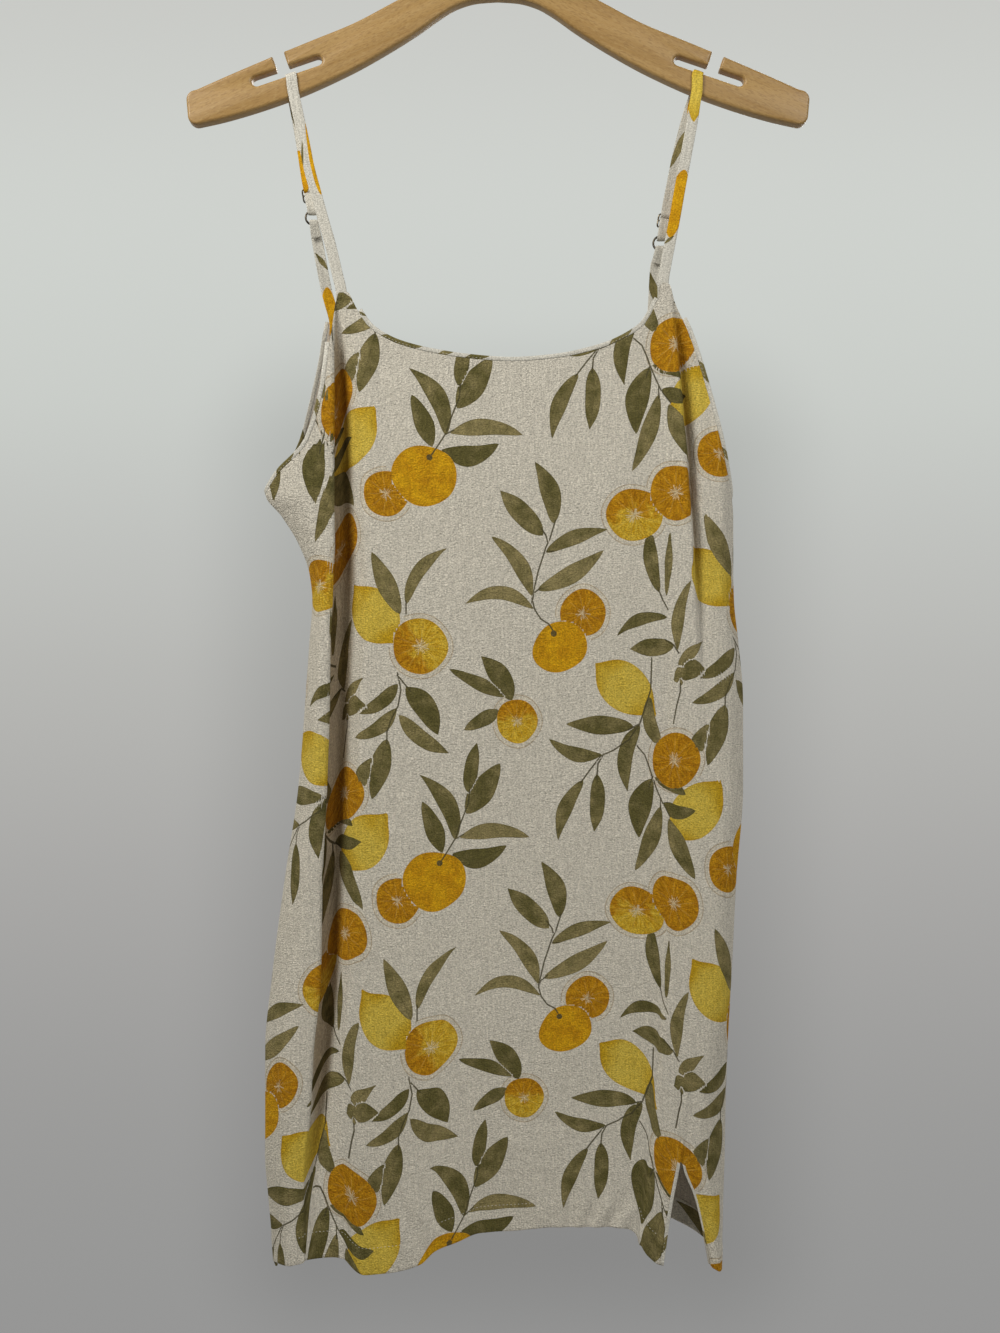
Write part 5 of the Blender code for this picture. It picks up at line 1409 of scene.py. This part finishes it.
def hanger_outline():
    """The board's whole outline, close together and with its sharp corners eased."""
    upper, lower = np.array(HANGER_UPPER), np.array(HANGER_LOWER)[::-1]
    way = np.array([math.cos(SLOT_TILT), -math.sin(SLOT_TILT)])
    up = np.array([math.sin(SLOT_TILT), math.cos(SLOT_TILT)])
    middle = np.array(SLOT_CENTRE)

    def top(out):
        return np.stack([out, smooth_line(upper[:, 0], upper[:, 1], out)], axis=1)

    def arc(centre, radius, low, high, count, u=np.array([1.0, 0.0]), v=np.array([0.0, 1.0])):
        turn = np.radians(np.linspace(low, high, count))[:, None]
        return centre + radius * (np.cos(turn) * u + np.sin(turn) * v)

    end_x, top_z = HANGER_UPPER[-1]
    low_x, low_z = HANGER_LOWER[0]
    radius = HANGER_END_RADIUS
    below = np.linspace(low_x, 0.0, 60)
    parts = [
        top(np.linspace(0.0, MOUTH[0], 60)),
        middle + MOUTH_FOOT[0] * way + SLOT_RADIUS * up,
        arc(middle - SLOT_HALF_LENGTH * way, SLOT_RADIUS, 90, 270, 13, way, up),
        arc(middle + SLOT_HALF_LENGTH * way, SLOT_RADIUS, -90, 90, 13, way, up),
        middle + MOUTH_FOOT[1] * way + SLOT_RADIUS * up,
        top(np.linspace(MOUTH[1], end_x, 24)),
        arc(np.array([end_x, top_z - radius]), radius, 80, 0, 9),
        arc(np.array([low_x, low_z + radius]), radius, 0, -80, 9),
        np.stack([below, smooth_line(lower[:, 0], lower[:, 1], below)], axis=1),
    ]
    half = np.vstack([np.atleast_2d(part) for part in parts])
    whole = np.vstack([half, (half * (-1, 1))[::-1][1:-1]])
    ends = np.vstack([whole, whole[:1]])
    run = run_along(ends)
    count = int(run[-1] / 0.7)
    line = values_at(np.arange(count) / count * run[-1], run, ends)
    for _ in range(3):
        line = 0.25 * np.roll(line, 1, axis=0) + 0.5 * line + 0.25 * np.roll(line, -1, axis=0)
    return line


def solid_faces(levels, sides):
    """The quads between rings of points, and one flat face on each end."""
    ends = [tuple(range(sides)), tuple(range((levels - 1) * sides, levels * sides))[::-1]]
    return [tuple(f) for f in ring_faces(levels, sides)] + ends


def board(name, line, thickness, rounding, steps, material):
    """A flat board from a closed outline, whose edges roll over in a quarter circle.

    Each level of the edge is the outline moved inwards along its own normal.
    """
    way = np.roll(line, -1, axis=0) - np.roll(line, 1, axis=0)
    way = way / np.hypot(*way.T)[:, None]
    area = np.sum(line[:, 0] * np.roll(line[:, 1], -1) - np.roll(line[:, 0], -1) * line[:, 1])
    inwards = np.stack([-way[:, 1], way[:, 0]], axis=1) * np.sign(area)
    bend = np.sum((np.roll(way, -1, axis=0) - np.roll(way, 1, axis=0)) * inwards, axis=1)
    tight = np.clip(bend / 0.7, 0.0, 1.0)
    for _ in range(6):
        tight = (np.roll(tight, 1) + tight + np.roll(tight, -1)) / 3
    reach = rounding * (1 - 0.75 * np.clip(tight * 1.4, 0, 1))
    levels = [(1 - math.sin(turn), -thickness / 2 + rounding * (1 - math.cos(turn)))
              for turn in np.radians(np.linspace(0, 90, steps))]
    levels += [(inset, -depth) for inset, depth in levels[::-1]]
    rings = []
    for inset, depth in levels:
        flat = line + inwards * (reach * inset)[:, None]
        rings.append(np.stack([flat[:, 0], np.full(len(line), depth), flat[:, 1]], axis=1))
    return face_out(mesh_piece(name, np.concatenate(rings), solid_faces(len(rings), len(line)), material))


wood, tree, shader = new_material("beech_with_lacquer")
board_x, board_y, board_z = split(tree, object_place(tree))
out = abs(board_x)
fall = board_z + maths(tree, "MAXIMUM", out - 0.02, 0.0) * 0.44
board_place = join(tree, out + maths(tree, "SIGN", board_x) * 1.7, board_y, fall)
warp = noise(tree, board_place, 9.0, 2.0, (1.0, 1.0, 3.0))
bands = ramp(maths(tree, "SINE", fall * 260.0 + warp * 7.0 + board_y * 90.0), -0.9, 0.9)
streaks = ramp(noise(tree, board_place, 300.0, 4.0, (0.045, 1.0, 1.0)), 0.3, 0.72)
flecks = ramp(noise(tree, board_place, 1300.0, 2.0, (0.22, 0.8, 0.8)), 0.50, 0.66)
pale_flecks = ramp(noise(tree, board_place, 1100.0, 2.0, (0.2, 0.9, 0.9)), 0.52, 0.68)
pool = ramp(noise(tree, board_place, 16.0, 2.0, (0.4, 1.0, 1.0)), 0.3, 0.7)
tone = blend(tree, bands, (0.330, 0.189, 0.054), (0.387, 0.231, 0.074))
for share, colour in (
        (streaks * 0.35, (0.445, 0.285, 0.101)), (pool * 0.3, (0.354, 0.204, 0.062)),
        (pale_flecks * 0.3, (0.494, 0.339, 0.136)), (flecks * 0.42, (0.206, 0.104, 0.027))):
    tone = blend(tree, share, tone, colour)
plug(tree, shader, {
    "Base Color": tone, "Roughness": ramp(streaks, 0.0, 1.0, 0.40, 0.52),
    "Normal": relief(tree, streaks, 0.15, 0.0003), "Coat Weight": 0.15, "Coat Roughness": 0.35})
hanger = board("hanger_board", hanger_outline(), HANGER_THICKNESS, HANGER_ROUNDING, 6, wood)
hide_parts("hanger")

# Hook
# Steel wire 3.6 mm thick, bent cold to an open crook, plated, and pushed 14 mm into the wood.
# The photo crops it off, so it is finished plainly, with its tip rounded.

HOOK_WIRE = 3.6
HOOK_INNER_RADIUS = 21.0
STEEL = worn_metal("plated_steel", (0.56, 0.56, 0.55), (0.70, 0.70, 0.69), 0.26)

radius = HOOK_INNER_RADIUS + HOOK_WIRE / 2
shank = [(0.0, -96.2), (0.0, -75.0), (0.0, -60.0), (-1.0, -53.0), (-5.5, -46.5), (-12.5, -41.5)]
crook = [(radius * math.cos(math.radians(d)), -HOOK_INNER_RADIUS + radius * math.sin(math.radians(d)))
         for d in range(220, -31, -10)]
wire = route_points([(x, 0.0, z, 0, 1, 0, 1) for x, z in shank + crook], 1.2)[:, :3]
along = unit(np.gradient(wire, axis=0))
through = np.broadcast_to([0.0, 1.0, 0.0], wire.shape)
run = run_along(wire)
tip = np.sqrt(np.clip(1 - (1 - np.clip((run[-1] - run) / 1.8, 0, 1)) ** 2, 0.02, 1))
turn = full_turn(20)[None, :, None]
side_way = unit(np.cross(through, along))
rings = wire[:, None] + (side_way[:, None] * np.cos(turn) + through[:, None] * np.sin(turn)) \
    * (HOOK_WIRE / 2 * tip)[:, None, None]
hook = face_out(mesh_piece("hook_wire", rings, solid_faces(len(wire), 20), STEEL))
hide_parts("hook")

# Room
# A pale plastered wall, far behind so that the dress can be seen from all round, that only
# glows, with a painted soft fall of light down it and a faint painted shadow, and three
# large soft lamps.

WALL_TONES = (  # height up the picture, 0 to 1, and the wall's glow there, a painted fall of light
    (0.0, (0.303, 0.303, 0.300)), (0.18, (0.330, 0.328, 0.322)), (0.35, (0.400, 0.395, 0.386)),
    (0.50, (0.480, 0.482, 0.462)), (0.60, (0.530, 0.540, 0.520)), (0.70, (0.590, 0.615, 0.585)),
    (0.86, (0.640, 0.665, 0.635)), (1.0, (0.575, 0.580, 0.555)),
)
LAMP_AIM = (0.0, 0.0, -0.5)


def room_side(name, corners, material):
    """A flat rectangle of the room."""
    mesh = bpy.data.meshes.new(name)
    mesh.from_pydata(corners, [], [(0, 1, 2, 3)])
    mesh.materials.append(material)
    item = bpy.data.objects.new(name, mesh)
    bpy.context.scene.collection.objects.link(item)
    return item


# The wall gives off light and takes none: its brightness down the wall is painted light, and its darkening
# round the dress is a painted shadow.
wall_glow, tree, shader = new_material("wall_glow_with_painted_shadow")
wall_x, _, wall_z = split(tree, object_place(tree))
height = add_node(tree, "ShaderNodeMapRange", {0: wall_z, 1: -2.0086, 2: 0.8214}).outputs[0]
tones = add_node(tree, "ShaderNodeValToRGB", {0: height})
band = tones.color_ramp
band.interpolation = "B_SPLINE"
while len(band.elements) < len(WALL_TONES):
    band.elements.new(0.5)
for element, (place, colour) in zip(band.elements, WALL_TONES):
    element.position = place
    element.color = (*colour, 1.0)
# Painted shadow: the glow darkens near a box round the dress's outline.
reach_x = maths(tree, "MAXIMUM", abs(wall_x - 0.03) - 0.40, 0.0)
reach_z = maths(tree, "MAXIMUM", abs(wall_z + 0.98) - 0.82, 0.0)
away = maths(tree, "SQRT", reach_x * reach_x + reach_z * reach_z)
shadow = join(tree, *[ramp(away, 0.34, 0.0, 1.0, 0.80)] * 3, "Color")
plug(tree, shader, {
    "Base Color": (0, 0, 0, 1), "Specular IOR Level": 0.0, "Emission Strength": 1.0,
    "Emission Color": blend(tree, 1.0, tones.outputs[0], shadow, "MULTIPLY")})
wall = room_side("wall", [(-7, 2.4, -5), (7, 2.4, -5), (7, 2.4, 5), (-7, 2.4, 5)], wall_glow)
pale, tree, shader = new_material("pale_floor")
plug(tree, shader, {"Base Color": (0.62, 0.61, 0.59, 1), "Roughness": 0.8})
floor = room_side("floor", [(-7, -5, -2.3), (7, -5, -2.3), (7, 2.4, -2.3), (-7, 2.4, -2.3)], pale)


def soft_lamp(name, place, width, height, power, colour):
    """A rectangular lamp turned towards the middle of the dress."""
    data = bpy.data.lights.new(name, "AREA")
    data.shape = "RECTANGLE"
    data.size, data.size_y = width, height
    data.energy = power
    data.color = colour
    lamp = bpy.data.objects.new(name, data)
    lamp.location = place
    away = np.array(place) - LAMP_AIM
    turn = math.atan2(math.hypot(away[0], away[1]), away[2])
    lamp.rotation_euler = (turn, 0.0, math.atan2(away[0], -away[1]))
    bpy.context.scene.collection.objects.link(lamp)
    return lamp


soft_lamp("window_light", (-1.0, -0.8, 0.45), 0.6, 0.8, 20.5, (1.0, 0.985, 0.95))
soft_lamp("front_fill", (1.25, -1.5, 0.3), 1.1, 1.2, 20.0, (0.98, 0.99, 1.0))
soft_lamp("back_light", (0.7, 2.0, 0.5), 1.0, 1.2, 20.0, (1.0, 0.99, 0.97))
world = bpy.data.worlds.new("soft_room_light")
world.use_nodes = True
plug(world.node_tree, world.node_tree.nodes["Background"], {"Color": (0.78, 0.78, 0.76, 1.0), "Strength": 0.20})
bpy.context.scene.world = world
bpy.context.scene.view_settings.view_transform = "Standard"

# Camera
# Level with the middle of the dress and 1.25 m in front of it, which gives the photo's
# mild perspective, with the hanger's hook cropped off as there.

lens = bpy.data.cameras.new("camera")
lens.sensor_width = 36.0
lens.lens = 46.4
camera = bpy.data.objects.new("camera", lens)
camera.location = (0.00145, -1.25, -0.5936)
camera.rotation_euler = (math.radians(90), 0, 0)
bpy.context.scene.collection.objects.link(camera)
bpy.context.scene.camera = camera
